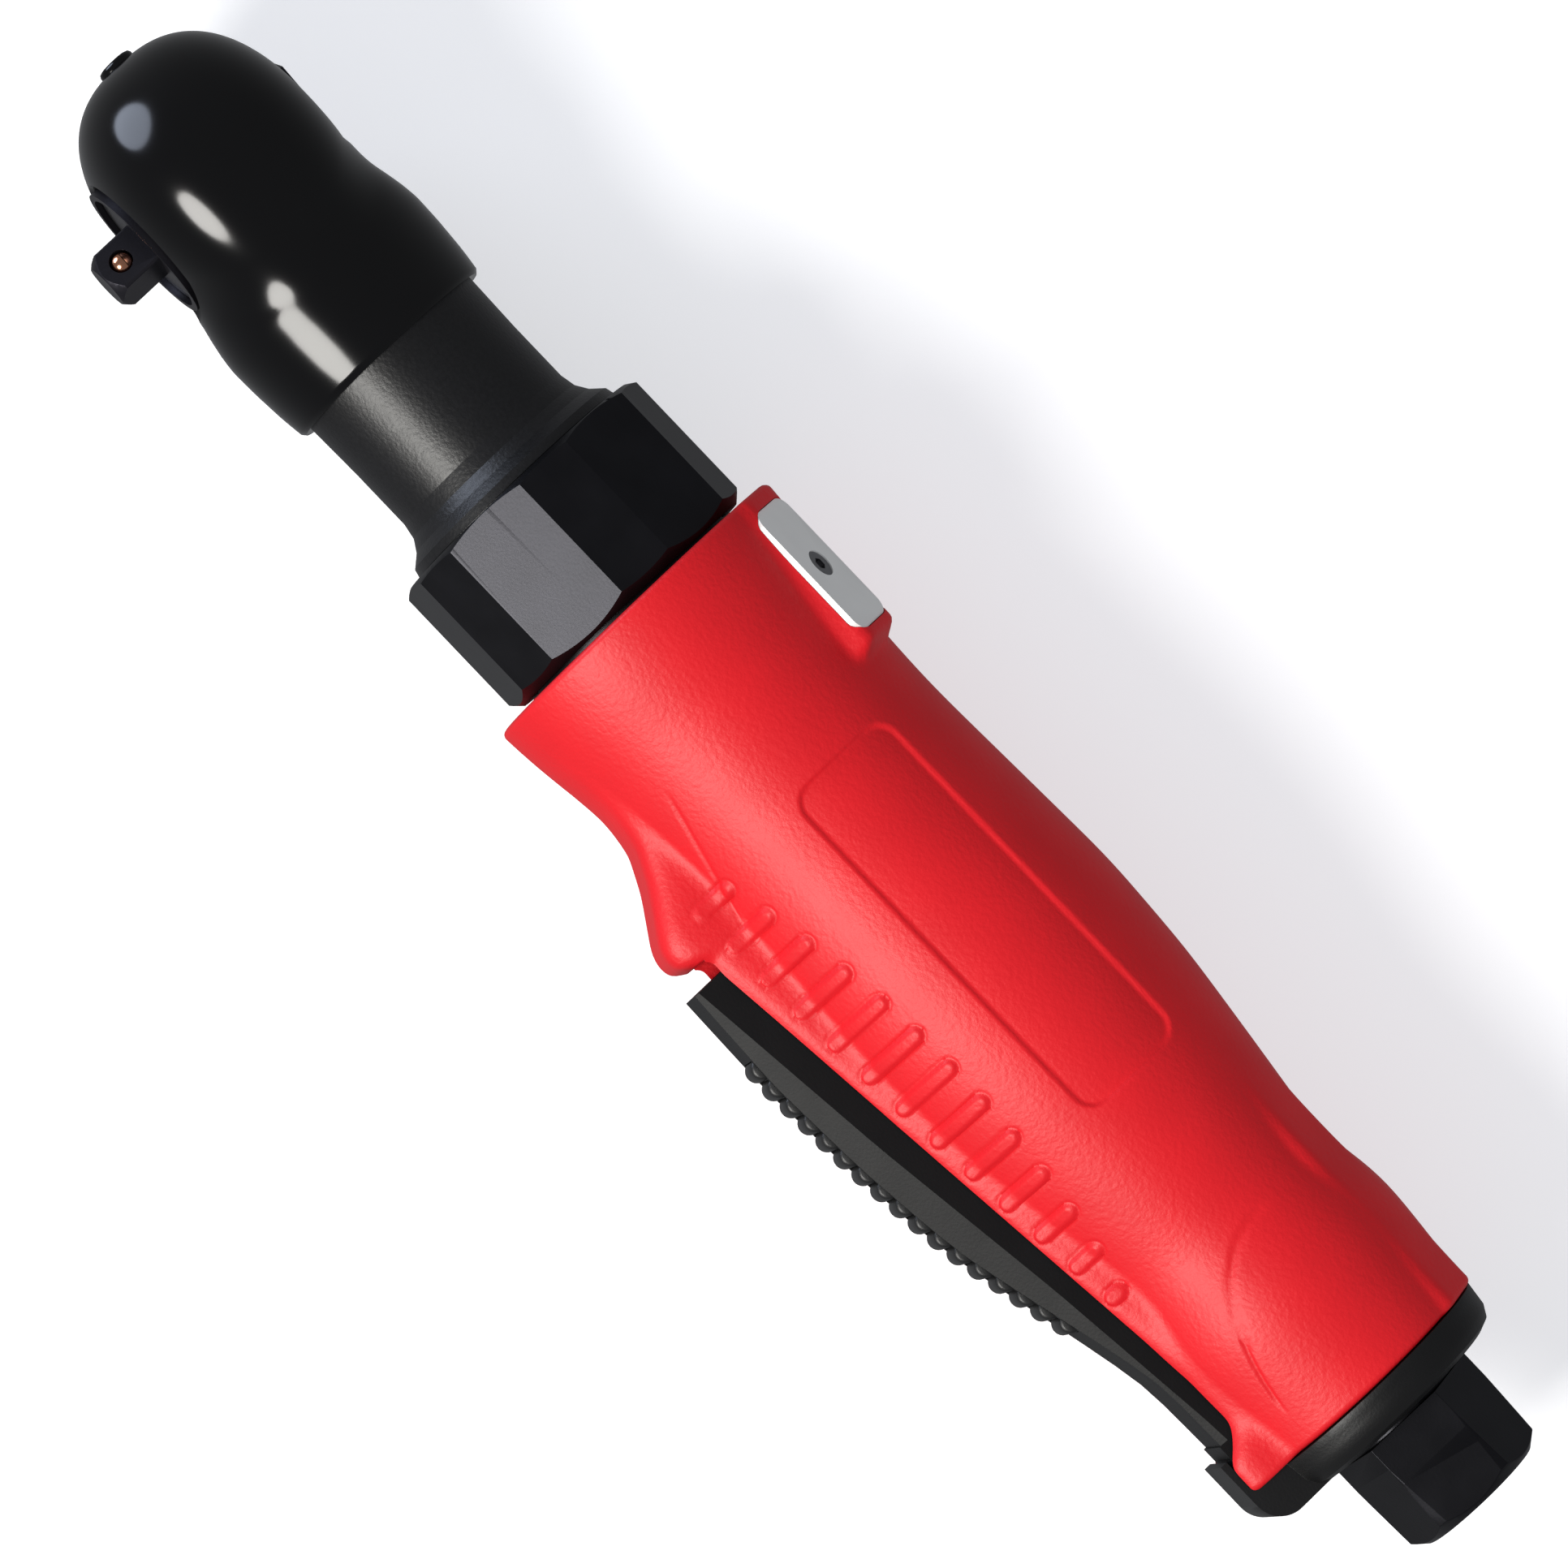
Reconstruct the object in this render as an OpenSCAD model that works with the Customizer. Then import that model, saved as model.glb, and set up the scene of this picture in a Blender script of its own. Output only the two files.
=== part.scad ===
// Air ratchet. X runs along the tool from the air inlet's mouth to the head, Y is the way the
// square drive and the lever point, and Z is up out of the side with the label panel.

/* [Inlet and end cap] */
// Hex of the inlet bushing, across its flats
inlet_af = 19.05; // [17:0.05:21]
// Length of the inlet's hex
inlet_hex_len = 14.4; // [12:0.1:18]
// Turn of the inlet's hex about the tool's axis
inlet_turn = 19; // [0:1:59]
// Radius of the inlet's tapped hole, drawn plain
inlet_r = 5.6; // [5:0.05:6.2]
// Depth of the inlet's tapped hole
inlet_depth = 12; // [8:0.5:13]
// Thickness of the end cap
cap_len = 5.2; // [4:0.1:8]
// Radius of the end cap
cap_r = 17.1; // [16:0.1:18]

/* [Grip] */
// Length of the red grip sleeve
sleeve_len = 134.4; // [120:0.1:162]
// Radius of the sleeve's bore over the motor
sleeve_bore_r = 17.25; // [17:0.05:18]
// Radius of the sleeve's bore over the valve block
sleeve_rear_bore_r = 14.25; // [14:0.05:15]
// Half width of the slot that the lever lies in
slot_half_w = 7.6; // [6.5:0.1:9]
// Length of the side plate along the tool
plate_len = 19.8; // [14:0.1:21]
// Width of the side plate
plate_w = 9.9; // [8:0.1:11]
// Thickness of the side plate
plate_t = 1.4; // [1:0.1:2]

/* [Lever] */
// Distance from the lever's pin to its front end
lever_len = 89.8; // [80:0.1:91]
// Radius of the lever's pin
lever_pin_r = 1.5; // [1.2:0.05:2]
// Height of the pin's axis below the tool's axis
lever_pin_y = 18.2; // [17.8:0.1:18.8]
// Angle the lever turns when it is pressed
lever_travel = 1.9; // [1:0.1:2.2]

/* [Motor] */
// Radius of the motor's bore in its housing
motor_r = 15; // [14.5:0.05:15.5]
// Length of the liner between its end plates
liner_len = 40; // [30:0.5:48]
// Offset of the liner's bore from the rotor's axis
liner_offset = 1.2; // [0.8:0.05:1.4]
// Radius of the rotor
rotor_r = 11.5; // [10.5:0.05:11.6]
// Number of vanes in the rotor
vane_count = 5; // [4:1:6]

/* [Gears] */
// Module of the planetary gears
gear_module = 0.75; // [0.7:0.01:0.76]
// Teeth on the rotor's pinion
sun_teeth = 12; // [12:12:12]
// Teeth on each planet gear
planet_teeth = 12; // [12:12:12]
// Width of the planet gears
gear_w = 7; // [5:0.1:8]

/* [Clamp nut and neck] */
// Clamp nut, across its wide flats
nut_af = 38.1; // [37.8:0.1:40]
// Length of the clamp nut
nut_len = 20.6; // [19:0.1:24]
// Radius of the neck
neck_r = 13.9; // [13:0.1:14.4]
// Distance from the clamp nut to the drive's axis
neck_len = 54; // [53:0.1:70]

/* [Head] */
// Radius of the bare steel head
head_r = 17.9; // [17.8:0.1:20]
// Half the height of the bare steel head
head_half_h = 13.1; // [13:0.1:14]
// Thickness of the dipped cover over the head
boot_t = 1.6; // [1:0.1:2]
// Square drive, across its flats
drive_square = 6.35; // [6.35:3.175:9.525]
// Length of the square drive
drive_len = 7; // [6:0.1:9]
// Turn of the square drive about its axis
drive_turn = 17; // [0:1:89]
// Throw of the crankshaft's eccentric pin
crank_throw = 2; // [1.6:0.05:2]
// Teeth inside the ratchet yoke
yoke_teeth = 36; // [36:12:36]

/* [Fits] */
// Radial clearance of a shaft that turns in its hole
run_fit = 0.05; // [0.03:0.01:0.08]
// Gap between pieces that pass each other
gap = 0.3; // [0.2:0.05:0.4]
// Gap between fixed pieces that are slid together
slip = 0.1; // [0.05:0.05:0.15]

/* [Hidden] */
round_fn = 96;
cut = 0.5;                       // how far a cut runs past the face it opens

// Stations along the tool
cap_x0 = inlet_hex_len + 0.9;    // the bushing's flange stands between the hex and the cap
cap_x1 = cap_x0 + cap_len;
sleeve_x0 = cap_x1 + 0.2;
sleeve_x1 = sleeve_x0 + sleeve_len;
block_x1 = sleeve_x0 + 44;       // the valve block ends and the motor's larger tube starts
nut_x0 = sleeve_x1 + 0.6;
nut_x1 = nut_x0 + nut_len;
drive_x = nut_x1 + neck_len;

// Motor stack, counted back from the joint between the two housings
joint_x = nut_x0 + 4.1;          // the motor housing's front face
ring_x0 = joint_x - 8;
ring_x1 = joint_x + 6.2;
plate_x1 = ring_x0 - slip;       // front end plate
end_plate_t = 6.5;
liner_x1 = plate_x1 - end_plate_t;
liner_x0 = liner_x1 - liner_len;
rear_plate_x0 = liner_x0 - end_plate_t;
liner_r = motor_r - slip;
liner_bore_r = rotor_r + liner_offset + 0.25;
shaft_r = 3;
bearing_r = 7.5;
bearing_w = 4;
bearing_balls_n = 8;
bearing_pitch_r = (shaft_r + bearing_r) / 2 + 0.1;
bearing_ball_r = 1.05;
inner_ring_r = bearing_pitch_r - bearing_ball_r - 0.12;
outer_ring_r = bearing_pitch_r + bearing_ball_r;
front_bearing_x = plate_x1 - bearing_w - 0.4;
rear_bearing_x = rear_plate_x0 + 0.4;

// Gears
ring_teeth = sun_teeth + 2 * planet_teeth;
planet_orbit = gear_module * (sun_teeth + planet_teeth) / 2;
planet_x0 = ring_x0 + 0.8;
planet_x1 = planet_x0 + gear_w;
planet_pin_r = 1.5;
carrier_x0 = planet_x1 + 0.4;
carrier_t = 4.6;
carrier_r = gear_module * ring_teeth / 2 - gear_module - 0.5;

// Crankshaft and head
crank_r = 5;
crank_bearing_r = 8;
yoke_gap_x = drive_x - 26.5;     // the yoke's pocket starts here
crank_end_x = yoke_gap_x + 1;
crank_pin_r = 2.2;
bushing_r = 3.2;
bushing_x0 = crank_end_x + 0.4;
bushing_w = 7;
yoke_r = 14.6;
yoke_half_t = 5.1;
yoke_root_r = 12.4;
yoke_tip_r = 11.3;
fork_half_gap = bushing_r + 2 * crank_throw + 0.5;
fork_t = 2.2;
pocket_r = yoke_r + 0.6;
pocket_half_h = yoke_half_t + gap;
pocket_half_w = fork_half_gap + fork_t + 1.35 * crank_throw;
anvil_r = 10.75;
anvil_top_r = 9.9;
anvil_neck_r = 7;
plate_y0 = yoke_half_t + 0.4;    // the drive plate is screwed into the head below the yoke
plate_rim_y = 8;
hub_r = 9.9;
hub_y = head_half_h + 0.9;
clip_t = 1;
clip_y = hub_y - 1.8;
drive_y0 = hub_y - 0.7;
drive_y1 = drive_y0 + drive_len;
knob_r = 4.9;
knob_flange_r = 7.4;
knob_y = -head_half_h + 1.9;     // underside of the knob's flange
pawl_pivot_r = 8;
pawl_pin_r = 1.2;
pawl_in_r = 6.9;
pawl_out_r = 10.4;
pawl_span = 37;
pawl_tilt = 6;
plunger_r = 1.2;
ball_r = 1.5;
ball_y = (drive_y0 + drive_y1) / 2 + 0.3;

// ---- general shapes -------------------------------------------------------------------

// A solid turned about the tool's axis from [x, radius] points
module turned(points) {
    rotate([0, 90, 0]) rotate_extrude($fn = round_fn) polygon([for (p = points) [p[1], p[0]]]);
}

// A plain ring or disc about the tool's axis
module ring_x(x0, x1, r_out, r_in = 0) {
    turned([[x0, r_in], [x1, r_in], [x1, r_out], [x0, r_out]]);
}

// A cylinder along the tool's axis, moved off it by y and z
module rod_x(x0, x1, r, y = 0, z = 0) {
    translate([x0, y, z]) rotate([0, 90, 0]) cylinder(r = r, h = x1 - x0, $fn = round_fn);
}

// A cylinder along Y at a place in the XZ plane
module rod_y(y0, y1, r, x = drive_x, z = 0) {
    translate([x, y0, z]) rotate([-90, 0, 0]) cylinder(r = r, h = y1 - y0, $fn = round_fn);
}

// A ring about the drive's axis
module ring_y(y0, y1, r_out, r_in) {
    translate([drive_x, y0, 0]) rotate([-90, 0, 0])
        rotate_extrude($fn = round_fn) translate([r_in, 0]) square([r_out - r_in, y1 - y0]);
}

// A flat outline in the drive's plane, given a thickness along Y
module slab_y(y0, y1) {
    translate([drive_x, y0, 0]) rotate([-90, 0, 0]) linear_extrude(y1 - y0) children();
}

// A closed solid through a row of rings that all have the same number of points
module skin(rings) {
    n = len(rings[0]);
    last = len(rings) - 1;
    points = [for (r = rings) each r];
    sides = [for (i = [0 : last - 1]) for (j = [0 : n - 1])
        let (a = i * n + j, b = i * n + (j + 1) % n)
        each [[a, b + n, b], [a, a + n, b + n]]];
    ends = [[for (j = [0 : n - 1]) j], [for (j = [n - 1 : -1 : 0]) last * n + j]];
    polyhedron(points, concat(sides, ends), convexity = 8);
}

// A coil spring, drawn as a stack of joined rings so that it stays light
module coil(length, r, wire_r, turns) {
    pitch = (length - 2 * wire_r) / turns;
    for (i = [0 : turns])
        translate([0, 0, wire_r + i * pitch])
            rotate_extrude($fn = 48) translate([r, 0]) circle(r = wire_r, $fn = 16);
    for (s = [-1, 1])
        translate([s * r, 0, wire_r]) cylinder(r = wire_r * 0.7, h = length - 2 * wire_r, $fn = 16);
}

// Value between the stations of a list of [place, value], eased at each station or straight
function between(list, x, eased = true, i = 0) =
    x <= list[0][0] ? list[0][1]
    : i >= len(list) - 1 ? list[len(list) - 1][1]
    : x > list[i + 1][0] ? between(list, x, eased, i + 1)
    : let (t = (x - list[i][0]) / (list[i + 1][0] - list[i][0]))
      list[i][1] + (list[i + 1][1] - list[i][1]) * (eased ? t * t * (3 - 2 * t) : t);

// The larger of two values, with a rounded crossing
function soft_max(a, b, k) = let (h = max(k - abs(a - b), 0) / k) max(a, b) + h * h * k / 4;

// Reach of a rounded box of half width w and depth d, at angle a from its middle
function lobe(a, w, d, n = 8) =
    cos(a) <= 0.02 ? 0 : pow(pow(abs(sin(a)) / w, n) + pow(cos(a) / d, n), -1 / n);

// ---- gears ------------------------------------------------------------------------------

// Involute half angle of a tooth at radius r
function involute(r, base) = r <= base ? 0 : let (t = sqrt(pow(r / base, 2) - 1)) t * 180 / PI - atan(t);

// Outline of a spur gear: addendum and dedendum in modules, thin is taken off each tooth
module gear_outline(teeth, addendum, dedendum, thin, turn = 0) {
    pressure = 25;
    pitch_r = gear_module * teeth / 2;
    base = pitch_r * cos(pressure);
    root = pitch_r - dedendum * gear_module;
    tip = pitch_r + addendum * gear_module;
    half = 90 / teeth - thin / pitch_r * 90 / PI + involute(pitch_r, base);
    steps = 4;
    radii = [for (i = [0 : steps]) let (r0 = max(root, base)) r0 + (tip - r0) * i / steps];
    polygon([for (k = [0 : teeth - 1]) let (mid = turn + k * 360 / teeth)
        each concat(
            [root * [cos(mid - half), sin(mid - half)]],
            [for (r = radii) let (a = mid - half + involute(r, base)) r * [cos(a), sin(a)]],
            [for (i = [steps : -1 : 0]) let (r = radii[i], a = mid + half - involute(r, base))
                r * [cos(a), sin(a)]],
            [root * [cos(mid + half), sin(mid + half)]])]);
}

// An outline lying across the tool's axis, given a thickness along it
module slab_x(x0, x1) {
    translate([x0, 0, 0]) rotate([0, 90, 0]) linear_extrude(x1 - x0) children();
}

// ---- inlet and end cap --------------------------------------------------------------------

spigot_r = 8.4;                  // the bushing's threaded end, screwed into the valve block
spigot_x1 = sleeve_x0 + 14;
air_r = 3.6;
screen_x0 = inlet_depth + 0.2;

module inlet_bushing() {
    color("#2c2c30") difference() {
        union() {
            intersection() {
                rotate([inlet_turn, 0, 0]) rotate([0, 90, 0])
                    cylinder(r = inlet_af / 2 / cos(30), h = inlet_hex_len, $fn = 6);
                turned([[0, 0], [0, inlet_af / 2 - 0.7], [1.5, inlet_af / 2 + 1.1],
                    [inlet_hex_len, inlet_af / 2 + 1.6], [inlet_hex_len, 0]]);
            }
            rod_x(inlet_hex_len - cut, cap_x0, inlet_af / 2 - 0.4);
            rod_x(cap_x0 - cut, spigot_x1, spigot_r);
        }
        rod_x(-cut, inlet_depth, inlet_r);
        rod_x(inlet_depth - cut, spigot_x1 + cut, air_r);
        rod_x(inlet_depth - cut, screen_x0 + 0.9, inlet_r - 0.8);
    }
}

module inlet_screen() {
    color("silver") difference() {
        rod_x(screen_x0, screen_x0 + 0.6, inlet_r - 0.85);
        for (y = [-1 : 1]) for (z = [-1 : 1])
            translate([screen_x0 - cut, y * 2.1 - 0.7, z * 2.1 - 0.7]) cube([2, 1.4, 1.4]);
    }
}

lever_eye_r = 2.7;
foot_y = 22.3;
foot_half_w = slot_half_w - gap;
silencer_x0 = cap_x0 + 1.6;
silencer_in_r = spigot_r + 2.2;
silencer_out_r = cap_r - 2.2;

module end_cap() {
    color("#2b2b2d") difference() {
        union() {
            turned([[cap_x0, 0], [cap_x0, cap_r - 2.2], [cap_x0 + 0.6, cap_r - 0.8],
                [cap_x0 + 2, cap_r], [cap_x1, cap_r + 0.4], [cap_x1, 0]]);
            // the foot passes under the lever's hinge
            translate([0, 0, -foot_half_w]) linear_extrude(2 * foot_half_w) {
                translate([cap_x0, 0]) square([cap_len, foot_y - 4]);
                translate([cap_x0 + 4, foot_y - 4]) circle(r = 4, $fn = round_fn);
                translate([cap_x0 + 4, foot_y - 5.5]) square([cap_len - 4, 5.5]);
                translate([cap_x1 - cut, foot_y - 1]) square([lever_pin_x + 2 - cap_x1, 1]);
            }
        }
        rod_x(cap_x0 - cut, cap_x1 + cut, spigot_r + slip);
        rod_z_pin(lever_eye_r + gap, slot_half_w);
        difference() {
            rod_x(silencer_x0, cap_x1 + cut, silencer_out_r);
            rod_x(silencer_x0 - cut, cap_x1 + 2 * cut, silencer_in_r);
        }
        for (k = [0 : 11]) rotate([k * 30 + 15, 0, 0])
            rod_x(cap_x0 - cut, silencer_x0 + cut, 1.3, (silencer_in_r + silencer_out_r) / 2);
    }
}

module exhaust_silencer() {
    color("#8a8a80") ring_x(silencer_x0 + 0.05, cap_x1 - 0.05, silencer_out_r - 0.05, silencer_in_r + 0.05);
}

// ---- motor housing and grip ---------------------------------------------------------------

lever_pin_x = sleeve_x0 + 3.8;
lever_x1 = lever_pin_x + lever_len;
slot_x1 = lever_x1 + 2.6;
block_r = sleeve_rear_bore_r - slip;
tube_r = sleeve_bore_r - slip;
plunger_x = sleeve_x0 + 22.3;
throttle_r = 3;
plunger_y0 = -7;
lip_x1 = nut_x0 + 2.5;
ring_groove_r = tube_r - 1;

module motor_housing() {
    color("#b9bcc0") difference() {
        turned([[cap_x1, 0], [cap_x1, block_r], [block_x1, block_r], [block_x1 + 0.8, tube_r],
            [nut_x0 - 0.2, tube_r], [nut_x0 - 0.2, ring_groove_r], [lip_x1 + 1.6, ring_groove_r],
            [lip_x1 + 1.6, tube_r - 0.6], [joint_x, tube_r - 0.6], [joint_x, 0]]);
        rod_x(cap_x1 - cut, spigot_x1 + 0.2, spigot_r + 0.02);
        rod_x(spigot_x1, rear_plate_x0 + cut, air_r);
        rod_x(block_x1 + 8, rear_plate_x0 + cut, 11);
        rod_x(rear_plate_x0 - slip, joint_x + cut, motor_r);
        // bore for the throttle plunger, blind at its inner end, with a spring seat below it
        translate([plunger_x, plunger_y0 - 4.5, 0]) rotate([-90, 0, 0])
            cylinder(r = throttle_r + run_fit, h = block_r + 12, $fn = round_fn);
    }
}

module housing_seals() {
    color("#202020") ring_x(sleeve_x1 - 1.6, sleeve_x1 - 0.4, sleeve_bore_r - 0.02, tube_r + 0.01);
}

// Stations of the grip's round body: share of its length, radius
grip_radii = [[0, 17.4], [0.07, 18.3], [0.13, 19], [0.2, 17.2], [0.31, 19.2], [0.41, 20.9], [0.52, 21.7],
    [0.65, 21.1], [0.755, 20.6], [0.83, 20.9], [0.89, 21.5], [0.94, 22.6], [1, 23.3]];
// Stations of the keel below it, with the finger hook in front of the lever: distance from the slot's
// front end, depth
hook_gap_y = 25.3;               // the gap behind the hook is cut up to here
slot_floor_y = 12;
hook_depths = [[-0.3, hook_gap_y], [0.6, 28.4], [3, 28.8], [5, 28.2], [8, 26.2], [11.5, 23.9],
    [16, 21.7], [22, 20.2]];
keel_depths = concat(
    [[sleeve_x0, 22], [lever_pin_x + 0.6, 22], [lever_pin_x + 2.2, 20], [lever_pin_x + 4.8, 17.9],
     [lever_pin_x + 12, 17.9], [lever_pin_x + 16.5, 18.5], [slot_x1 - 3, 25.5]],
    [for (h = hook_depths) [slot_x1 + h[0], h[1]]]);
keel_half_w = slot_half_w + 1.7;
lever_pin_half = keel_half_w - 1.2;
boss_turn = 146.5;               // the plate's boss leans from the top towards the panel's side
boss_r = 23.6;
boss_front = 2.4;
boss_x0 = sleeve_x1 - boss_front - plate_len - 1.4;
boss_depths = [[boss_x0 - 4, 18], [boss_x0 - 1.5, 20.6], [boss_x0, boss_r], [sleeve_x1, boss_r]];

function grip_r(x, a) =
    let (body = between(grip_radii, (x - sleeve_x0) / sleeve_len),
         keel = lobe(a, keel_half_w, between(keel_depths, x, false)),
         boss = lobe(a - boss_turn, plate_w / 2 + 0.9, between(boss_depths, x, false)))
    soft_max(soft_max(body, keel, 2), boss, 0.8);

// The two sides are left a little flat, so that the tool lies still on either of them
side_flat = 9;
function grip_angle(a) = let (side = a < 180 ? 90 : 270, off = a - side)
    abs(off) < side_flat ? side + sign(off) * side_flat : a;

module grip_sleeve() {
    steps = 44;
    around = 36;
    color("#d3202c") difference() {
        // the first and last rings lie inside the bore and close the solid's flat ends
        skin([for (i = [-1 : steps + 1]) let (x = sleeve_x0 + sleeve_len * min(max(i, 0), steps) / steps)
            [for (j = [0 : around - 1]) let (a = grip_angle((j + 0.5) * 360 / around),
                    r = i < 0 || i > steps ? spigot_r : grip_r(x, a))
                [x, r * cos(a), r * sin(a)]]]);
        rod_x(sleeve_x0 - cut, sleeve_x1 + cut, sleeve_rear_bore_r);
        rod_x(block_x1 - 0.6, sleeve_x1 + cut, sleeve_bore_r);
        // slot that the lever lies in, and the gap behind the hook
        translate([sleeve_x0 - cut, slot_floor_y, -slot_half_w])
            cube([slot_x1 - sleeve_x0 + cut, 30, 2 * slot_half_w]);
        translate([slot_x1 - 4, hook_gap_y, -15]) cube([4, 15, 30]);
        // seat of the side plate
        plate_place(boss_r - 0.3 - plate_t, plate_t + 3, slip);
        translate([plate_mid_x, 0, 0]) rotate([boss_turn - 90, 0, 0])
            cylinder(r = screw_r, h = boss_r, $fn = round_fn);
        // blind seats of the lever's pin, covered by the grip's skin
        rod_z_pin(lever_pin_r, lever_pin_half + gap);
    }
}

plate_mid_x = sleeve_x1 - boss_front - plate_len / 2;
screw_r = 1.5;

// The side plate's outline, raised from height z0 over the tool's axis, grown by a margin
module plate_place(z0, t, margin = 0) {
    r = 2;
    translate([plate_mid_x, 0, 0]) rotate([boss_turn - 90, 0, 0]) translate([0, 0, z0])
        linear_extrude(t) {
            square([plate_len + 2 * margin, plate_w - 2 * r], center = true);
            square([plate_len - 2 * r, plate_w + 2 * margin], center = true);
            for (x = [-1, 1]) for (y = [-1, 1])
                translate([x * (plate_len / 2 - r), y * (plate_w / 2 - r)]) circle(r = r + margin, $fn = 48);
        }
}

module side_plate() {
    color("#b4b6b8") difference() {
        plate_place(boss_r - 0.3 - plate_t, plate_t);
        translate([plate_mid_x, 0, 0]) rotate([boss_turn - 90, 0, 0]) {
            cylinder(r = screw_r + slip, h = boss_r + 2, $fn = round_fn);
            translate([0, 0, boss_r - 1.2]) cylinder(r = 2, h = 3, $fn = round_fn);
        }
    }
}

module plate_screw() {
    color("#8f8f92") translate([plate_mid_x, 0, 0]) rotate([boss_turn - 90, 0, 0]) difference() {
        union() {
            translate([0, 0, sleeve_bore_r + 0.4])
                cylinder(r = screw_r - 0.02, h = boss_r - 1.2 - sleeve_bore_r - 0.4, $fn = round_fn);
            translate([0, 0, boss_r - 1.2]) cylinder(r = 1.9, h = 0.75, $fn = round_fn);
        }
        translate([0, 0, boss_r - 1]) cylinder(r = 0.9, h = 2, $fn = 6);
    }
}

// ---- lever ----------------------------------------------------------------------------------

lever_half_w = slot_half_w - 0.4;
lever_front_y = 29.2;

// A rod across the tool on the lever pin's axis
module rod_z_pin(r, half) {
    translate([lever_pin_x, lever_pin_y, -half]) cylinder(r = r, h = 2 * half, $fn = round_fn);
}

module lever_pin() {
    color("silver") rod_z_pin(lever_pin_r - 0.01, lever_pin_half);
}

// Lever's lower and upper edges, by distance from its pin
lever_lower = [[3, 20.3], [13.5, 20.5], [19.5, 21.6], [26, 23.1], [34, 25], [42, 26.8], [48, 27.7],
    [60, 28.9], [75, 29.6], [lever_len, lever_front_y]];
lever_upper = [[3, 16.6], [40, 18.9], [lever_len, 21.8]];
lever_bevel = [[3, 19.2], [7.5, 19.5], [32, 22], [60, 25.6], [lever_len, 28.6]];

module lever_blank() {
    steps = 22;
    skin([for (i = [0 : steps]) let (d = 3 + (lever_len - 3) * i / steps, x = lever_pin_x + d,
            lo = between(lever_lower, d, false), hi = between(lever_upper, d, false),
            bev = min(between(lever_bevel, d, false), lo - 0.2), w = lever_half_w, wb = w - (lo - bev) * 0.62)
        [[x, lo, -wb], [x, lo, wb], [x, bev, w], [x, hi, w], [x, hi, -w], [x, bev, -w]]]);
}

module throttle_lever() {
    color("#2b2b2d") difference() {
        union() {
            lever_blank();
            rod_z_pin(lever_eye_r, lever_half_w);
            translate([lever_pin_x, lever_pin_y - 1.6, -lever_half_w]) cube([3.4, 4, 2 * lever_half_w]);
        }
        rod_z_pin(lever_pin_r + run_fit, lever_half_w + cut);
        // hollow of the channel, open towards the tool's axis
        translate([lever_pin_x, 0, -lever_half_w + 2]) linear_extrude(2 * lever_half_w - 4)
            polygon([[hollow_d0, 10], for (d = [hollow_d0, 42, 48, 60, 75, lever_len - 2]) [d, lever_skin(d)],
                [lever_len - 2, 10]]);
        pad_block(0.05, 3);
    }
}

pad_d0 = 26;                     // the ribbed pad's ends, from the lever's pin
pad_d1 = 79;
pad_half_w = 4.6;
pad_depth = 2.2;
hollow_d0 = 36;
function lever_skin(d) = between(lever_lower, d, false) - pad_depth - 1.4;

// The pocket for the ribbed pad, cut a little below the lever's lower face
module pad_block(margin, over = 0.3) {
    t = pad_depth;
    for (seg = [[pad_d0, 34], [34, 42], [42, 48], [48, 60], [60, 75], [75, pad_d1]])
        let (y0 = between(lever_lower, seg[0], false), y1 = between(lever_lower, seg[1], false))
        translate([lever_pin_x, 0, -pad_half_w - margin]) linear_extrude(2 * (pad_half_w + margin))
            polygon([[seg[0] - margin, y0 - t - margin], [seg[1] + margin, y1 - t - margin],
                [seg[1] + margin, y1 + over], [seg[0] - margin, y0 + over]]);
}

module lever_pad() {
    ribs = 17;
    pitch = (pad_d1 - pad_d0) / ribs;
    color("#1d1d1f") union() {
        intersection() {
            pad_block(0);
            translate([lever_pin_x + pad_d0, 10, -pad_half_w]) cube([pad_d1 - pad_d0, 30, 2 * pad_half_w]);
        }
        for (k = [0 : ribs - 1]) let (d = pad_d0 + (k + 0.5) * pitch, y = between(lever_lower, d, false) - 0.6)
            translate([lever_pin_x + d, y, -pad_half_w + 0.2])
                cylinder(r = pitch / 2 - 0.04, h = 2 * pad_half_w - 0.4, $fn = 48);
    }
}

// ---- throttle ---------------------------------------------------------------------------------

// The lever's inner face over the plunger, where the plunger's head rests
plunger_y1 = between(lever_upper, plunger_x - lever_pin_x - throttle_r, false) - 0.05;

module throttle_plunger() {
    color("silver") translate([plunger_x, 0, 0]) rotate([-90, 0, 0]) rotate_extrude($fn = round_fn)
        polygon([[0, plunger_y0], [throttle_r, plunger_y0], [throttle_r, -4.2], [1.6, -3.6], [1.6, 3.6],
            [throttle_r, 4.2], [throttle_r, 6], [throttle_r - 0.8, 6], [throttle_r - 0.8, 7.4],
            [throttle_r, 7.4], [throttle_r, plunger_y1 - 1], [throttle_r - 1, plunger_y1], [0, plunger_y1]]);
}

module plunger_seals() {
    color("#202020") translate([plunger_x, 6.7, 0]) rotate([90, 0, 0])
        rotate_extrude($fn = round_fn) translate([throttle_r - 0.44, 0]) circle(r = 0.34, $fn = 24);
}

module throttle_spring() {
    color("silver") translate([plunger_x, plunger_y0 - 4.3, 0]) rotate([-90, 0, 0])
        coil(4.1, 2.1, 0.35, 5);
}

// ---- air motor --------------------------------------------------------------------------------

module end_plate(x0, x1, bearing_x) {
    turned([[x0, shaft_r + 0.6], [x0, liner_r], [x1, liner_r], [x1, shaft_r + 0.6],
        [bearing_x + bearing_w, shaft_r + 0.6], [bearing_x + bearing_w, bearing_r + 0.01],
        [bearing_x, bearing_r + 0.01], [bearing_x, shaft_r + 0.6]]);
}

module rear_end_plate() {
    color("#9a9da2") end_plate(rear_plate_x0, liner_x0, rear_bearing_x);
}

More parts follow.
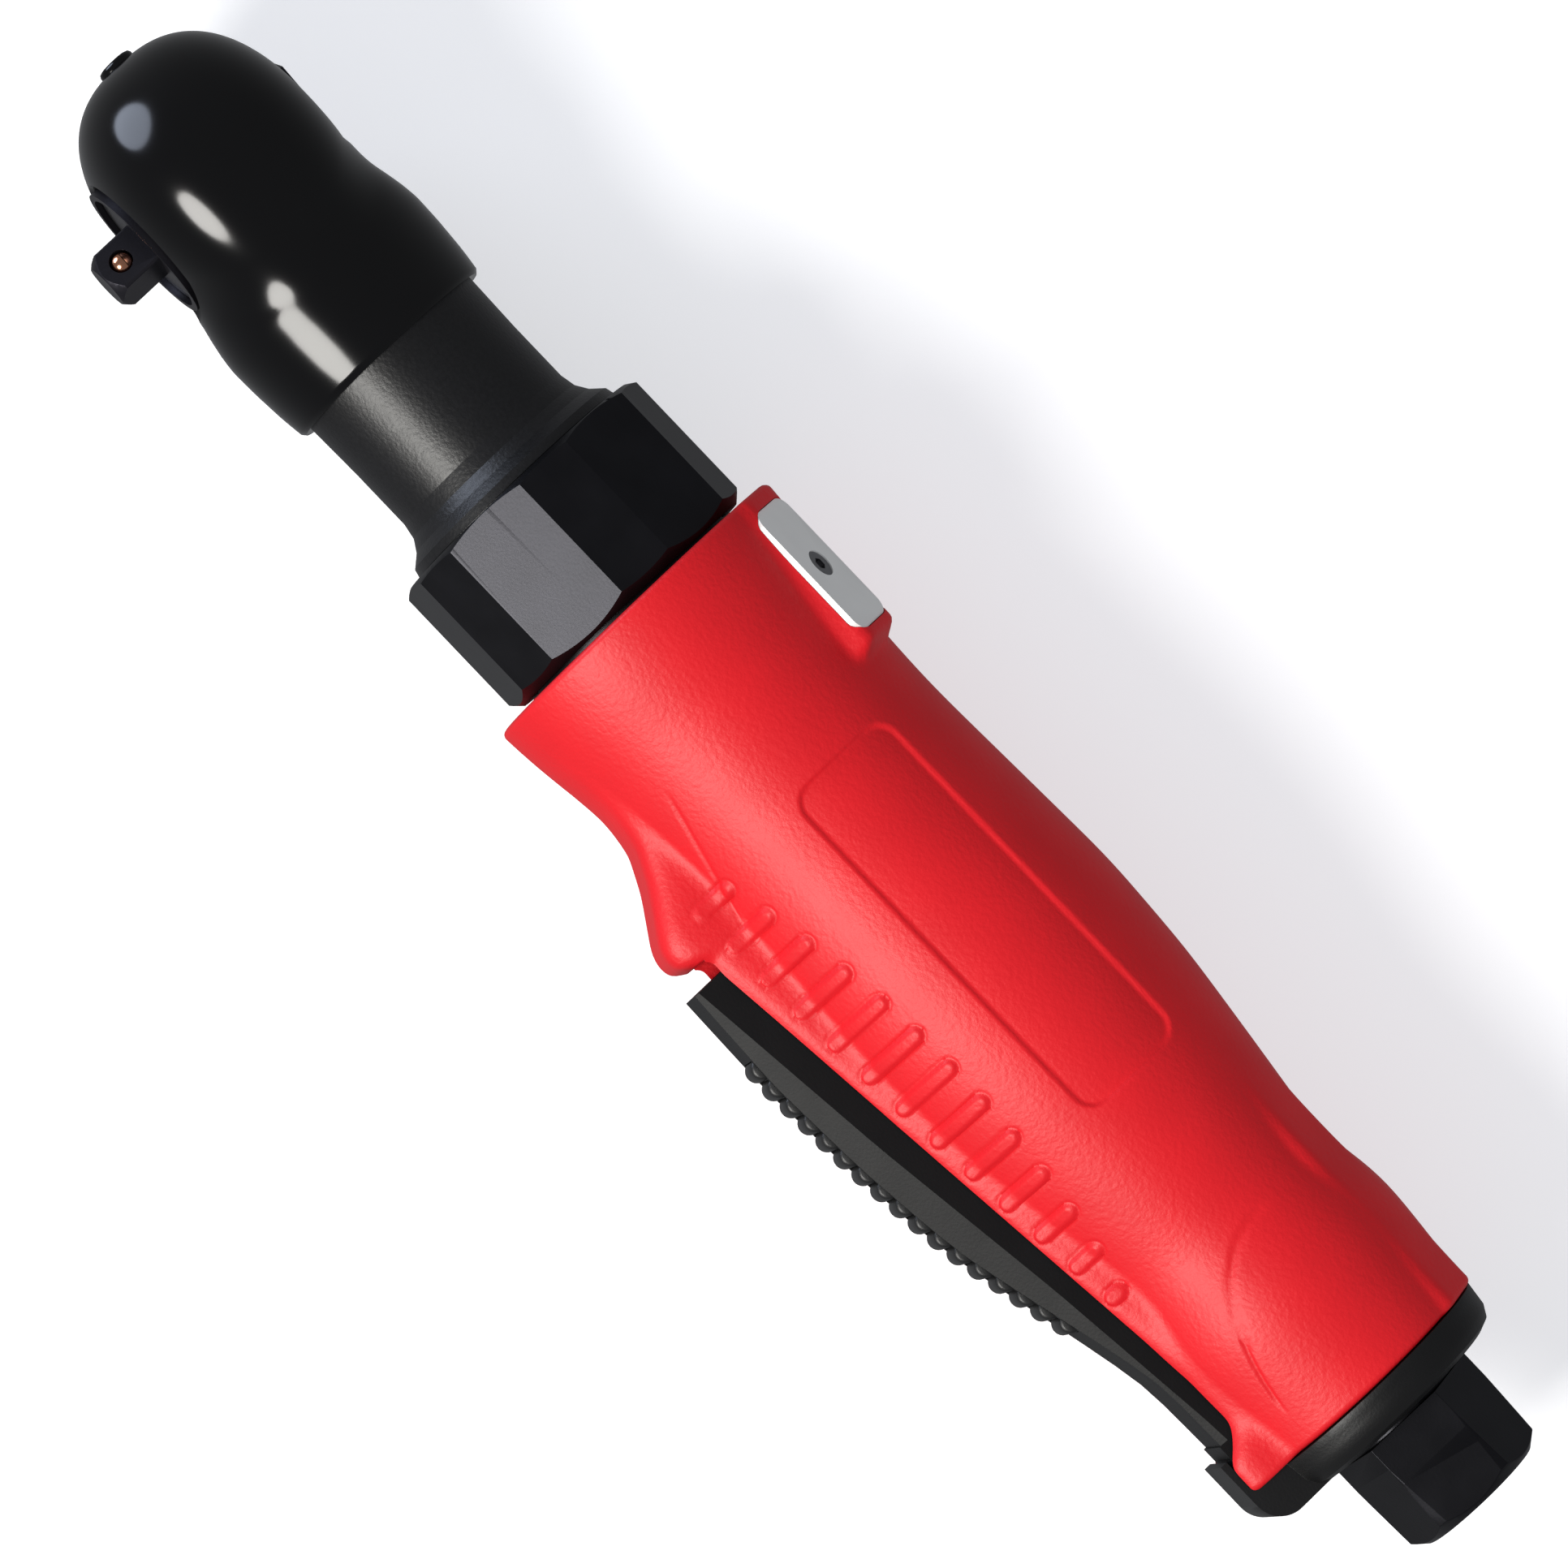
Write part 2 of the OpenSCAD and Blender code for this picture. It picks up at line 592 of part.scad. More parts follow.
module front_end_plate() {
    color("#9a9da2") end_plate(liner_x1, plate_x1, front_bearing_x);
}

module motor_liner() {
    color("#a8aab0") difference() {
        rod_x(liner_x0, liner_x1, liner_r);
        rod_x(liner_x0 - cut, liner_x1 + cut, liner_bore_r, 0, liner_offset);
        // inlet and exhaust ports
        for (k = [-2 : 2]) for (s = [-1, 1])
            translate([(liner_x0 + liner_x1) / 2 + k * 6, s * 10, 0]) rotate([-90 * s, 0, 0])
                cylinder(r = 1.4, h = 8, $fn = 24);
        rod_x(liner_x0 - cut, liner_x0 + 3, pin_r, 0, -liner_pin_z);
    }
}

pin_r = 0.6;
liner_pin_z = (liner_r + liner_bore_r - liner_offset) / 2;

module liner_pin() {
    color("silver") rod_x(liner_x0 + 0.02, liner_x0 + 2.9, pin_r - 0.01, 0, -liner_pin_z);
}

slot_t = 1.4;
slot_floor = 6.4;

module rotor() {
    color("#8c8f94") difference() {
        union() {
            rod_x(liner_x0 + 0.15, liner_x1 - 0.15, rotor_r);
            rod_x(rear_plate_x0 + 0.2, plate_x1 + 0.2, shaft_r);
            slab_x(plate_x1, planet_x1) gear_outline(sun_teeth, 0.8, 1.1, 0.07);
        }
        for (k = [0 : vane_count - 1]) rotate([k * 360 / vane_count, 0, 0])
            translate([liner_x0 - cut, -slot_t / 2, slot_floor])
                cube([liner_len + 2 * cut, slot_t, rotor_r]);
    }
}

module rotor_vanes() {
    color("#4a3a2c") for (k = [0 : vane_count - 1]) rotate([k * 360 / vane_count, 0, 0])
        translate([liner_x0 + 0.2, -slot_t / 2 + 0.04, slot_floor + 0.1])
            cube([liner_len - 0.4, slot_t - 0.08, rotor_r - slot_floor - 0.15]);
}

module bearing_inner_rings() {
    color("silver") for (x = [rear_bearing_x, front_bearing_x])
        ring_x(x + 0.1, x + bearing_w - 0.1, inner_ring_r, shaft_r + 0.01);
}

module bearing_outer_rings() {
    color("silver") for (x = [rear_bearing_x, front_bearing_x]) difference() {
        ring_x(x + 0.05, x + bearing_w - 0.05, bearing_r, outer_ring_r - 0.4);
        translate([x + bearing_w / 2, 0, 0]) rotate([0, 90, 0]) rotate_extrude($fn = round_fn)
            translate([bearing_pitch_r, 0]) circle(r = bearing_ball_r + 0.02, $fn = 48);
    }
}

module bearing_balls() {
    color("silver") for (x = [rear_bearing_x, front_bearing_x]) for (k = [0 : bearing_balls_n - 1])
        rotate([k * 360 / bearing_balls_n, 0, 0]) translate([x + bearing_w / 2, bearing_pitch_r, 0])
            sphere(r = bearing_ball_r, $fn = 32);
}

// ---- reduction gears ----------------------------------------------------------------------------

module ring_gear() {
    color("#8c8f94") difference() {
        rod_x(ring_x0, ring_x1, motor_r - 0.05);
        slab_x(ring_x0 - cut, ring_x1 + cut)
            gear_outline(ring_teeth, 1.1, 0.8, -0.07, 180 / ring_teeth);
    }
}

module planet_gear(k) {
    color("#a0a3a8") rotate([120 * k, 0, 0]) translate([0, 0, -planet_orbit]) difference() {
        slab_x(planet_x0, planet_x1) gear_outline(planet_teeth, 0.8, 1.1, 0.07, 180 / planet_teeth);
        rod_x(planet_x0 - cut, planet_x1 + cut, planet_pin_r + run_fit);
    }
}
module planet_gear_1() { planet_gear(0); }
module planet_gear_2() { planet_gear(1); }
module planet_gear_3() { planet_gear(2); }

module planet_pins() {
    color("silver") for (k = [0 : 2]) rotate([120 * k, 0, 0])
        rod_x(planet_x0 + 0.1, carrier_x0 + carrier_t, planet_pin_r, 0, -planet_orbit);
}

module crankshaft() {
    color("#7d8086") difference() {
        union() {
            rod_x(carrier_x0, carrier_x0 + carrier_t, carrier_r);
            rod_x(carrier_x0 + carrier_t - cut, crank_end_x, crank_r);
            rod_x(crank_end_x - cut, bushing_x0 + bushing_w, crank_pin_r, 0, crank_throw);
        }
        for (k = [0 : 2]) rotate([120 * k, 0, 0])
            rod_x(carrier_x0 - cut, carrier_x0 + carrier_t + cut, planet_pin_r, 0, -planet_orbit);
    }
}

module crank_bearings() {
    color("#b08d57") for (x = [carrier_x0 + carrier_t + 1.2, yoke_gap_x - 14.5])
        ring_x(x, x + 13, crank_bearing_r - 0.01, crank_r + run_fit);
}

module drive_bushing() {
    color("#b08d57") difference() {
        rod_x(bushing_x0, bushing_x0 + bushing_w, bushing_r, 0, crank_throw);
        rod_x(bushing_x0 - cut, bushing_x0 + bushing_w + cut, crank_pin_r + 0.02, 0, crank_throw);
    }
}

// ---- clamp nut and ratchet housing ---------------------------------------------------------------

collar_r = 17;
nut_front_r = collar_r - 0.4;
nut_corner_r = nut_af / 2 + 0.62;

module clamp_nut() {
    color("#3a3a3f") difference() {
        intersection() {
            // six wide flats, with the corners cut back to six narrow ones
            rotate([5, 0, 0]) rotate([0, 90, 0]) translate([0, 0, nut_x0])
                cylinder(r = nut_af / 2 / cos(30), h = nut_len, $fn = 6);
            rotate([35, 0, 0]) rotate([0, 90, 0]) translate([0, 0, nut_x0])
                cylinder(r = nut_corner_r / cos(30), h = nut_len, $fn = 6);
            turned([[nut_x0, 0], [nut_x0, nut_af / 2 - 0.5], [nut_x0 + 1.6, nut_af / 2 + 1.2],
                [nut_x1 - 0.9, nut_af / 2 + 1.2], [nut_x1, nut_af / 2 - 0.2], [nut_x1, 0]]);
        }
        rod_x(nut_x0 - cut, nut_x1 + cut, nut_front_r);
        rod_x(nut_x0 - cut, lip_x1, tube_r + slip - 0.05);
        rod_x(lip_x1 - 0.01, joint_x + 0.4, nut_af / 2 - 1.1);
    }
}

module nut_retaining_ring() {
    color("silver") difference() {
        ring_x(lip_x1 + 0.05, lip_x1 + 1.5, tube_r + 0.75, ring_groove_r + 0.02);
        translate([lip_x1 - cut, -30, -1]) cube([3, 30, 2]);
    }
}

// Outline of the bare head and its blend into the neck, from the drive's axis: height, radius
head_power = 2.5;
function head_height(r, radius, half_h) =
    half_h * pow(1 - pow(min(r / radius, 1), head_power), 1 / head_power);

// The head turned about the drive's axis: grow gives the cover's outside
module head_disc(grow) {
    steps = 10;
    radius = head_r + grow;
    half_h = head_half_h + grow;
    radii = [for (i = [0 : steps]) radius * pow(sin(90 * i / steps), 0.8)];
    slab_up = [for (r = radii) [r, head_height(r, radius, half_h)]];
    slab_down = [for (i = [steps - 1 : -1 : 0]) [radii[i], -slab_up[i][1]]];
    translate([drive_x, 0, 0]) rotate([-90, 0, 0]) rotate_extrude($fn = round_fn)
        polygon(concat(slab_up, slab_down));
}

// The swelling between neck and head: distance back from the drive's axis, radius
swell = [[30.8, 12.6], [29.6, 13.8], [27, 14.3], [22.5, 14.7], [18.5, 15], [16, 14.6],
    [13, 13.5], [10, 12.2]];

module head_swell(grow) {
    turned(concat([[drive_x - 30.8, 0]], [for (p = swell) [drive_x - p[0], p[1] + grow]],
        [[drive_x - 10, 0]]));
}

module ratchet_housing() {
    color("#1c1c1e") difference() {
        union() {
            head_disc(0);
            head_swell(0);
            turned([[joint_x + 0.2, 0], [joint_x + 0.2, nut_front_r - 0.1], [nut_x1 + 0.2, nut_front_r - 0.1],
                [nut_x1 + 0.2, collar_r], [nut_x1 + 1.4, collar_r - 0.3], [nut_x1 + 2.8, neck_r + 1.2],
                [nut_x1 + 4.4, neck_r + 0.2], [nut_x1 + 6.5, neck_r - 0.2], [nut_x1 + 15, neck_r - 0.2],
                [drive_x - 30, neck_r], [drive_x - 27, neck_r], [drive_x - 27, 0]]);
        }
        rod_x(joint_x - cut, ring_x1 + 0.2, motor_r);
        rod_x(ring_x1, yoke_gap_x + cut, crank_bearing_r);
        translate([yoke_gap_x, -pocket_half_h, -pocket_half_w])
            cube([drive_x - yoke_gap_x, 2 * pocket_half_h, 2 * pocket_half_w]);
        rod_y(-pocket_half_h, head_half_h + cut, pocket_r);
        rod_y(plate_rim_y + 0.1, head_half_h + cut, pocket_r + 0.7);
        rod_y(-10.3, 0, anvil_top_r + run_fit);
        rod_y(-head_half_h - cut, -10.2, knob_flange_r + 0.4);
    }
}

boot_mouth_r = 10.5;

module head_boot() {
    color("#101012") difference() {
        union() {
            head_disc(boot_t);
            head_swell(boot_t - 0.1);
            rod_x(drive_x + head_r, drive_x + head_r + boot_t + 0.8, 2.6);
        }
        head_disc(0.02);
        head_swell(0.01);
        rod_x(drive_x - 31.5, drive_x - 25, neck_r + 0.02);
        rod_y(0, head_half_h + 5, boot_mouth_r);
        rod_y(-head_half_h - 5, 0, knob_flange_r + 0.8);
    }
}

// ---- ratchet -------------------------------------------------------------------------------------

module ratchet_yoke() {
    color("#8c8f94") difference() {
        union() {
            rod_y(-yoke_half_t, yoke_half_t, yoke_r);
            slab_y(-yoke_half_t, yoke_half_t)
                translate([yoke_gap_x - drive_x + 1.5, -fork_half_gap - fork_t])
                    square([drive_x - yoke_gap_x - 8, 2 * (fork_half_gap + fork_t)]);
        }
        slab_y(-yoke_half_t - cut, yoke_half_t + cut) {
            translate([-40, -fork_half_gap]) square([40 - yoke_r - 0.2, 2 * fork_half_gap]);
            // ratchet teeth
            polygon([for (k = [0 : 2 * yoke_teeth - 1]) let (a = k * 180 / yoke_teeth)
                (k % 2 == 0 ? yoke_root_r : yoke_tip_r) * [cos(a), sin(a)]]);
        }
    }
}

// Outline of the pawl's pocket or of the pawl, centred on the anvil's +X side
module sector(r0, r1, half_angle) {
    steps = 8;
    angles = [for (i = [0 : steps]) -half_angle + 2 * half_angle * i / steps];
    polygon(concat([for (a = angles) r1 * [cos(a), sin(a)]],
        [for (i = [steps : -1 : 0]) r0 * [cos(angles[i]), sin(angles[i])]]));
}

module turned_drive() {
    translate([drive_x, 0, 0]) rotate([0, drive_turn, 0]) translate([-drive_x, 0, 0]) children();
}

module drive_anvil() {
    half = drive_square / 2;
    color("#36343a") turned_drive() difference() {
        union() {
            rod_y(-10, -yoke_half_t, anvil_top_r);
            rod_y(-yoke_half_t - 0.01, yoke_half_t, anvil_r);
            rod_y(yoke_half_t - 0.01, drive_y0, anvil_neck_r);
            intersection() {
                translate([drive_x - half, drive_y0 - 1, -half])
                    cube([drive_square, drive_len + 1, drive_square]);
                translate([drive_x, drive_y0 - 2, 0]) rotate([-90, 0, 0])
                    cylinder(r1 = half + drive_len + 1.6, r2 = half - 0.2, h = drive_len + 2, $fn = round_fn);
                rod_y(drive_y0 - 2, drive_y1, half * 1.34);
            }
        }
        rod_y(-10 - cut, 4.3, knob_r + run_fit);
        ring_y(clip_y - 0.05, clip_y + clip_t + 0.05, anvil_neck_r + 1, anvil_neck_r - 0.6);
        slab_y(-4.1, 4.1) sector(pawl_in_r - 0.8, anvil_r + 2, 50);
        slab_y(-1.8, 1.8) sector(knob_r - 1, pawl_in_r, 54);
        rod_y(-6.6, yoke_half_t + cut, pawl_pin_r, drive_x + pawl_pivot_r);
        // hole for the detent ball and its spring
        translate([drive_x, ball_y, -1.6]) cylinder(r = ball_r + 0.06, h = half + 3, $fn = round_fn);
    }
}

// The pawl stands just clear of the yoke's teeth, tipped towards the way it will catch
module pawl() {
    color("#9a9da2") turned_drive() slab_y(-3.9, 3.9)
        translate([pawl_pivot_r, 0]) rotate(pawl_tilt) translate([-pawl_pivot_r, 0]) difference() {
            union() {
                sector(pawl_in_r, pawl_out_r - 0.5, pawl_span);
                for (s = [-1, 1]) for (k = [0 : 1])
                    rotate(s * (pawl_span - 4 - k * 360 / yoke_teeth))
                        polygon([[pawl_out_r - 1, -0.9], [pawl_out_r, 0], [pawl_out_r - 1, 0.9]]);
            }
            translate([pawl_pivot_r, 0]) circle(r = pawl_pin_r + run_fit, $fn = round_fn);
        }
}

module pawl_pin() {
    color("silver") turned_drive() rod_y(-6.5, yoke_half_t - 0.1, pawl_pin_r - 0.01, drive_x + pawl_pivot_r);
}

knob_turn = 38;                  // the knob's plunger sits this far to one side of the pawl's pin

module at_knob() {
    turned_drive() translate([drive_x, 0, 0]) rotate([0, -knob_turn, 0]) translate([-drive_x, 0, 0])
        children();
}

module reverse_knob() {
    color("#2b2b2d") at_knob() difference() {
        union() {
            rod_y(knob_y - 0.1, 4, knob_r);
            rod_y(-head_half_h + 0.3, knob_y, knob_flange_r);
            translate([drive_x - 6, -head_half_h - 1.7, -1.7]) cube([12, 3, 3.4]);
        }
        rod_x(drive_x + 1, drive_x + 8, plunger_r + run_fit);
    }
}

module pawl_plunger() {
    color("silver") at_knob() {
        rod_x(drive_x + 3.4, drive_x + 5.6, plunger_r);
        translate([drive_x + 5.3, 0, 0]) sphere(r = 0.9, $fn = 32);
    }
}

module pawl_plunger_spring() {
    color("silver") at_knob() translate([drive_x + 1.1, 0, 0]) rotate([0, 90, 0]) coil(2.2, 0.8, 0.2, 3);
}

module drive_plate() {
    color("#3c3b40") difference() {
        union() {
            rod_y(plate_y0, plate_rim_y, pocket_r - 0.02);
            rod_y(plate_y0, hub_y, hub_r);
        }
        rod_y(plate_y0 - cut, hub_y + cut, anvil_neck_r + run_fit);
        rod_y(clip_y - 0.3, hub_y + cut, anvil_neck_r + 1.9);
    }
}

module snap_ring() {
    color("#4a4a4e") turned_drive() difference() {
        ring_y(clip_y, clip_y + clip_t, anvil_neck_r + 1.5, anvil_neck_r - 0.58);
        translate([drive_x - 15, clip_y - cut, -1.5]) cube([15, 3, 3]);
    }
}

module detent_ball() {
    color("#c9a27c") turned_drive() translate([drive_x, ball_y, drive_square / 2 - 1]) sphere(r = ball_r, $fn = 48);
}

module detent_spring() {
    color("silver") turned_drive() translate([drive_x, ball_y, -1.5]) coil(2, 1.1, 0.2, 3);
}

inlet_bushing();
inlet_screen();
end_cap();
exhaust_silencer();
motor_housing();
housing_seals();
grip_sleeve();
side_plate();
plate_screw();
lever_pin();
throttle_lever();
lever_pad();
throttle_plunger();
plunger_seals();
throttle_spring();
rear_end_plate();
front_end_plate();
motor_liner();
liner_pin();
rotor();
rotor_vanes();
bearing_inner_rings();
bearing_outer_rings();
bearing_balls();
ring_gear();
planet_gear_1();
planet_gear_2();
planet_gear_3();
planet_pins();
crankshaft();
crank_bearings();
drive_bushing();
clamp_nut();
nut_retaining_ring();
ratchet_housing();
head_boot();
ratchet_yoke();
drive_anvil();
drive_plate();
snap_ring();
detent_ball();
detent_spring();
pawl();
pawl_pin();
reverse_knob();
pawl_plunger();
pawl_plunger_spring();
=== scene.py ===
"""Looks of a pneumatic ratchet wrench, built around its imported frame.

The scene is in metres, in the frame's own axes: +X runs along the tool to the head, +Y is the way the square drive and
the lever point, +Z comes out of the side with the label panel. Sizes in the classes are in mm.
"""

import logging
import math
from dataclasses import dataclass
from enum import Enum
from typing import Sequence

import bmesh
import bpy
import numpy as np
from mathutils import Matrix, Vector


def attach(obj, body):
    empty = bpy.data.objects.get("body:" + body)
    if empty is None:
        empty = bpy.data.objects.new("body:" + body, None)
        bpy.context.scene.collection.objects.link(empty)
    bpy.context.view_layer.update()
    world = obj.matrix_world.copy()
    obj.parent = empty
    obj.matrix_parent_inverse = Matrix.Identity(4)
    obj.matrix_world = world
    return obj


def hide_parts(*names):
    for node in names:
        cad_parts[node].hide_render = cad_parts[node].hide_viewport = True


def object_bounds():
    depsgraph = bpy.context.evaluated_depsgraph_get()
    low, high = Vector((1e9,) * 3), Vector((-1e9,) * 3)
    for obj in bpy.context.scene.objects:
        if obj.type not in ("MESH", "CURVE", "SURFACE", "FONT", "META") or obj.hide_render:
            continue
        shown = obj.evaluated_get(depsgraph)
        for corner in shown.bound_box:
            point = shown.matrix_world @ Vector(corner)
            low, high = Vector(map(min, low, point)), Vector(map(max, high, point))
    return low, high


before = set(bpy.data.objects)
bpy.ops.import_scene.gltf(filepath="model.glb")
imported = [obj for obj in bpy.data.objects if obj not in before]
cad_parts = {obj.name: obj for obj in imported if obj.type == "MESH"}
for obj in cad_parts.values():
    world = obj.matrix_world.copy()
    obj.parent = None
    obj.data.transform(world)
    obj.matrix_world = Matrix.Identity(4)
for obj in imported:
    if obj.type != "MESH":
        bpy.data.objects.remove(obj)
CAD_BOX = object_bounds()

log = logging.getLogger("air_ratchet")
MM = 0.001
CAMERA_ROLL = math.radians(7.5)
TINY = 1e-9
Vec3 = tuple[float, float, float]
Stations = tuple[tuple[float, float], ...]
Spans = tuple[tuple[float, float, float], ...]


# ---- colour and materials ---------------------------------------------------------------------

def linear(hex_colour: str) -> tuple[float, float, float, float]:
    """Turns an sRGB colour such as "#d3202c" into linear RGBA.

    Args:
        hex_colour: six hex digits after a #.
    Returns:
        The linear colour with alpha 1.
    """
    parts = [int(hex_colour[i:i + 2], 16) / 255 for i in (1, 3, 5)]
    return tuple(c / 12.92 if c <= 0.04045 else ((c + 0.055) / 1.055) ** 2.4 for c in parts) + (1.0,)


@dataclass(frozen=True)
class Finish:
    """A real material: its colours, shine and fine relief. Patch and grain sizes are in mm."""

    name: str
    colour: str
    second: str
    roughness: float
    metallic: float = 0.0
    rough_spread: float = 0.06
    patch: float = 6.0
    grain: float = 0.6
    relief: float = 0.0
    specular: float = 0.5


class Look(Enum):
    """Every finish on the tool, named for its real material."""

    # moulded soft grip: a matte red whose fine leathery grain breaks up the highlights
    RED_ELASTOMER = Finish("red_elastomer", "#da1721", "#cb131d", 0.48, grain=0.7, relief=0.55, patch=9,
                           specular=0.4)
    # moulded vinyl head cover: deep black with clear, sharp-edged reflections
    GLOSS_VINYL = Finish("gloss_vinyl", "#030304", "#050506", 0.14, specular=0.35, rough_spread=0.02,
                         patch=12, grain=3.0, relief=0.02)
    # machined hexagons, black oxide: dark grey metal with soft broad reflections on each flat
    BLACK_OXIDE = Finish("black_oxide_steel", "#1d1d20", "#29292d", 0.34, 0.85, grain=0.35, relief=0.06)
    # cast head in satin paint: black with fine light specks
    PAINTED_IRON = Finish("painted_iron", "#08080a", "#161618", 0.38, grain=0.5, relief=0.3, patch=0.5,
                          specular=0.4)
    # moulded nylon end cap: black with a dull sheen
    MATTE_NYLON = Finish("matte_nylon", "#09090a", "#0d0d0e", 0.45, grain=0.4, relief=0.2, specular=0.4)
    # pressed steel lever, black coated: nearly no reflections, a faint even grain
    BLACK_STEEL = Finish("black_coated_steel", "#0a0a0b", "#0e0e0f", 0.5, grain=0.4, relief=0.15,
                         specular=0.2)
    # moulded rubber pad: a little greyer than the lever, with soft highlights on each rib
    BLACK_RUBBER = Finish("black_rubber", "#101011", "#161617", 0.44, grain=0.3, relief=0.15)
    # zinc side plate with a light satin coat: pale grey, hardly any reflection
    SATIN_ZINC = Finish("satin_zinc", "#eeeeec", "#e2e2e0", 0.4, 0.1, grain=0.25, relief=0.04)
    # turned screws and pins: mid-grey metal
    PLAIN_STEEL = Finish("plain_steel", "#8d8d90", "#7f7f82", 0.35, 1.0)
    # ground and hardened working parts: light grey metal with a fine grain
    GROUND_STEEL = Finish("ground_steel", "#a5a5a8", "#949497", 0.28, 1.0, grain=0.25, relief=0.04)
    # polished bearing races and balls: bright, close to a mirror
    BEARING_STEEL = Finish("bearing_steel", "#c4c4c6", "#b8b8ba", 0.15, 1.0)
    # drawn spring wire: darker grey metal
    SPRING_STEEL = Finish("spring_steel", "#7c7c7e", "#6c6c6e", 0.3, 1.0)
    # hobbed and hardened gears: warm grey metal
    GEAR_STEEL = Finish("gear_steel", "#8b8984", "#7b7974", 0.32, 1.0)
    # phosphated square drive and knob: dark bluish grey metal
    DRIVE_STEEL = Finish("phosphated_steel", "#3b3a40", "#2e2d33", 0.36, 0.9, grain=0.3, relief=0.08)
    # stamped plate in the head's mouth: darker and duller than the drive
    DARK_STEEL = Finish("dark_steel", "#2c2b31", "#222126", 0.42, 0.85, grain=0.3, relief=0.08)
    # copper-plated detent ball: small, bright and warm
    COPPER = Finish("copper_plate", "#e2a383", "#d89472", 0.16, 1.0)
    # sintered bronze bushing: brown gold with an oily sheen
    OILED_BRONZE = Finish("oiled_bronze", "#b07a3c", "#9a6830", 0.35, 1.0)
    # machined inner housing, black anodised: dark with a metal sheen
    ANODISED_ALUMINIUM = Finish("anodised_aluminium", "#232325", "#1c1c1e", 0.4, 0.8, grain=0.5,
                                relief=0.1)
    # resin-bonded cloth vanes: patchy brown
    BROWN_PHENOLIC = Finish("brown_phenolic", "#6f4524", "#5c381c", 0.5, patch=1.5)
    # pressed wool felt: fuzzy grey without highlights
    GREY_FELT = Finish("grey_felt", "#8c8a84", "#6f6d68", 0.9, grain=0.25, relief=0.6, patch=0.5)
    # moulded sealing rings: plain black rubber
    NITRILE = Finish("nitrile_rubber", "#0d0d0d", "#131313", 0.55)


class Shader:
    """Builds one procedural material on object coordinates."""

    grain_detail = 4.0
    bump_distance = 0.15

    def __init__(self, finish: Finish) -> None:
        """Starts the node tree.

        Args:
            finish: the real material to build.
        """
        self.material = bpy.data.materials.new(finish.name)
        self.material.use_nodes = True
        self.tree = self.material.node_tree
        self.bsdf = self.tree.nodes["Principled BSDF"]
        self.finish = finish

    def node(self, kind: str, **sockets: object) -> bpy.types.Node:
        """Adds a node and sets its named input sockets.

        Args:
            kind: the node's type.
            sockets: values by socket name, with _ for a space.
        Returns:
            The new node.
        """
        made = self.tree.nodes.new(kind)
        for name, value in sockets.items():
            made.inputs[name.replace("_", " ")].default_value = value
        return made

    def noise(self, size_mm: float, detail: float = 2.0) -> bpy.types.Node:
        """Adds noise on object coordinates.

        Args:
            size_mm: width of its features.
            detail: how many finer layers it has.
        Returns:
            The noise node.
        """
        made = self.node("ShaderNodeTexNoise", Scale=1.0 / (size_mm * MM), Detail=detail)
        coords = self.node("ShaderNodeTexCoord")
        self.tree.links.new(coords.outputs["Object"], made.inputs["Vector"])
        return made

    def build(self) -> bpy.types.Material:
        """Links colour, roughness and relief.

        Returns:
            The finished material.
        """
        f, links = self.finish, self.tree.links
        self.bsdf.inputs["Metallic"].default_value = f.metallic
        self.bsdf.inputs["Specular IOR Level"].default_value = f.specular
        patch = self.noise(f.patch)
        mix = self.node("ShaderNodeMixRGB", Color1=linear(f.colour), Color2=linear(f.second))
        links.new(patch.outputs["Fac"], mix.inputs["Fac"])
        links.new(mix.outputs["Color"], self.bsdf.inputs["Base Color"])
        spread = self.node("ShaderNodeMapRange")
        spread.inputs["To Min"].default_value = f.roughness - f.rough_spread / 2
        spread.inputs["To Max"].default_value = f.roughness + f.rough_spread / 2
        links.new(patch.outputs["Fac"], spread.inputs["Value"])
        links.new(spread.outputs["Result"], self.bsdf.inputs["Roughness"])
        if f.relief:
            grain = self.noise(f.grain, self.grain_detail)
            bump = self.node("ShaderNodeBump", Strength=f.relief, Distance=self.bump_distance * MM)
            links.new(grain.outputs["Fac"], bump.inputs["Height"])
            links.new(bump.outputs["Normal"], self.bsdf.inputs["Normal"])
        return self.material


MATERIALS: dict[Look, bpy.types.Material] = {}


def material(look: Look) -> bpy.types.Material:
    """Returns the material of a look, built once."""
    if look not in MATERIALS:
        MATERIALS[look] = Shader(look.value).build()
    return MATERIALS[look]


# ---- mesh helpers -----------------------------------------------------------------------------

def new_mesh(name: str, verts: np.ndarray, faces: Sequence[Sequence[int]], look: Look) -> bpy.types.Object:
    """Makes a smooth mesh object at the origin, with its faces pointing outwards.

    Args:
        name: the piece's name.
        verts: N by 3 points in mm.
        faces: vertex indices of each face.
        look: its finish.
    Returns:
        The linked object.
    """
    mesh = bpy.data.meshes.new(name)
    mesh.from_pydata((np.asarray(verts) * MM).tolist(), [], [list(map(int, f)) for f in faces])
    mesh.polygons.foreach_set("use_smooth", [True] * len(mesh.polygons))
    mesh.materials.append(material(look))
    mesh.validate()
    shell = bmesh.new()
    shell.from_mesh(mesh)
    if shell.calc_volume(signed=True) < 0:
        mesh.flip_normals()
    shell.free()
    made = bpy.data.objects.new(name, mesh)
    bpy.context.scene.collection.objects.link(made)
    return made


def ring_faces(rings: int, around: int, closed: bool = False) -> list[tuple[int, int, int, int]]:
    """Quads between neighbouring rings of points.

    Args:
        rings: how many rings there are.
        around: points in each ring.
        closed: whether the last ring joins the first.
    Returns:
        Four vertex indices for each quad.
    """
    spans = rings if closed else rings - 1
    return [(i * around + j, i * around + (j + 1) % around, (i + 1) % rings * around + (j + 1) % around,
             (i + 1) % rings * around + j) for i in range(spans) for j in range(around)]


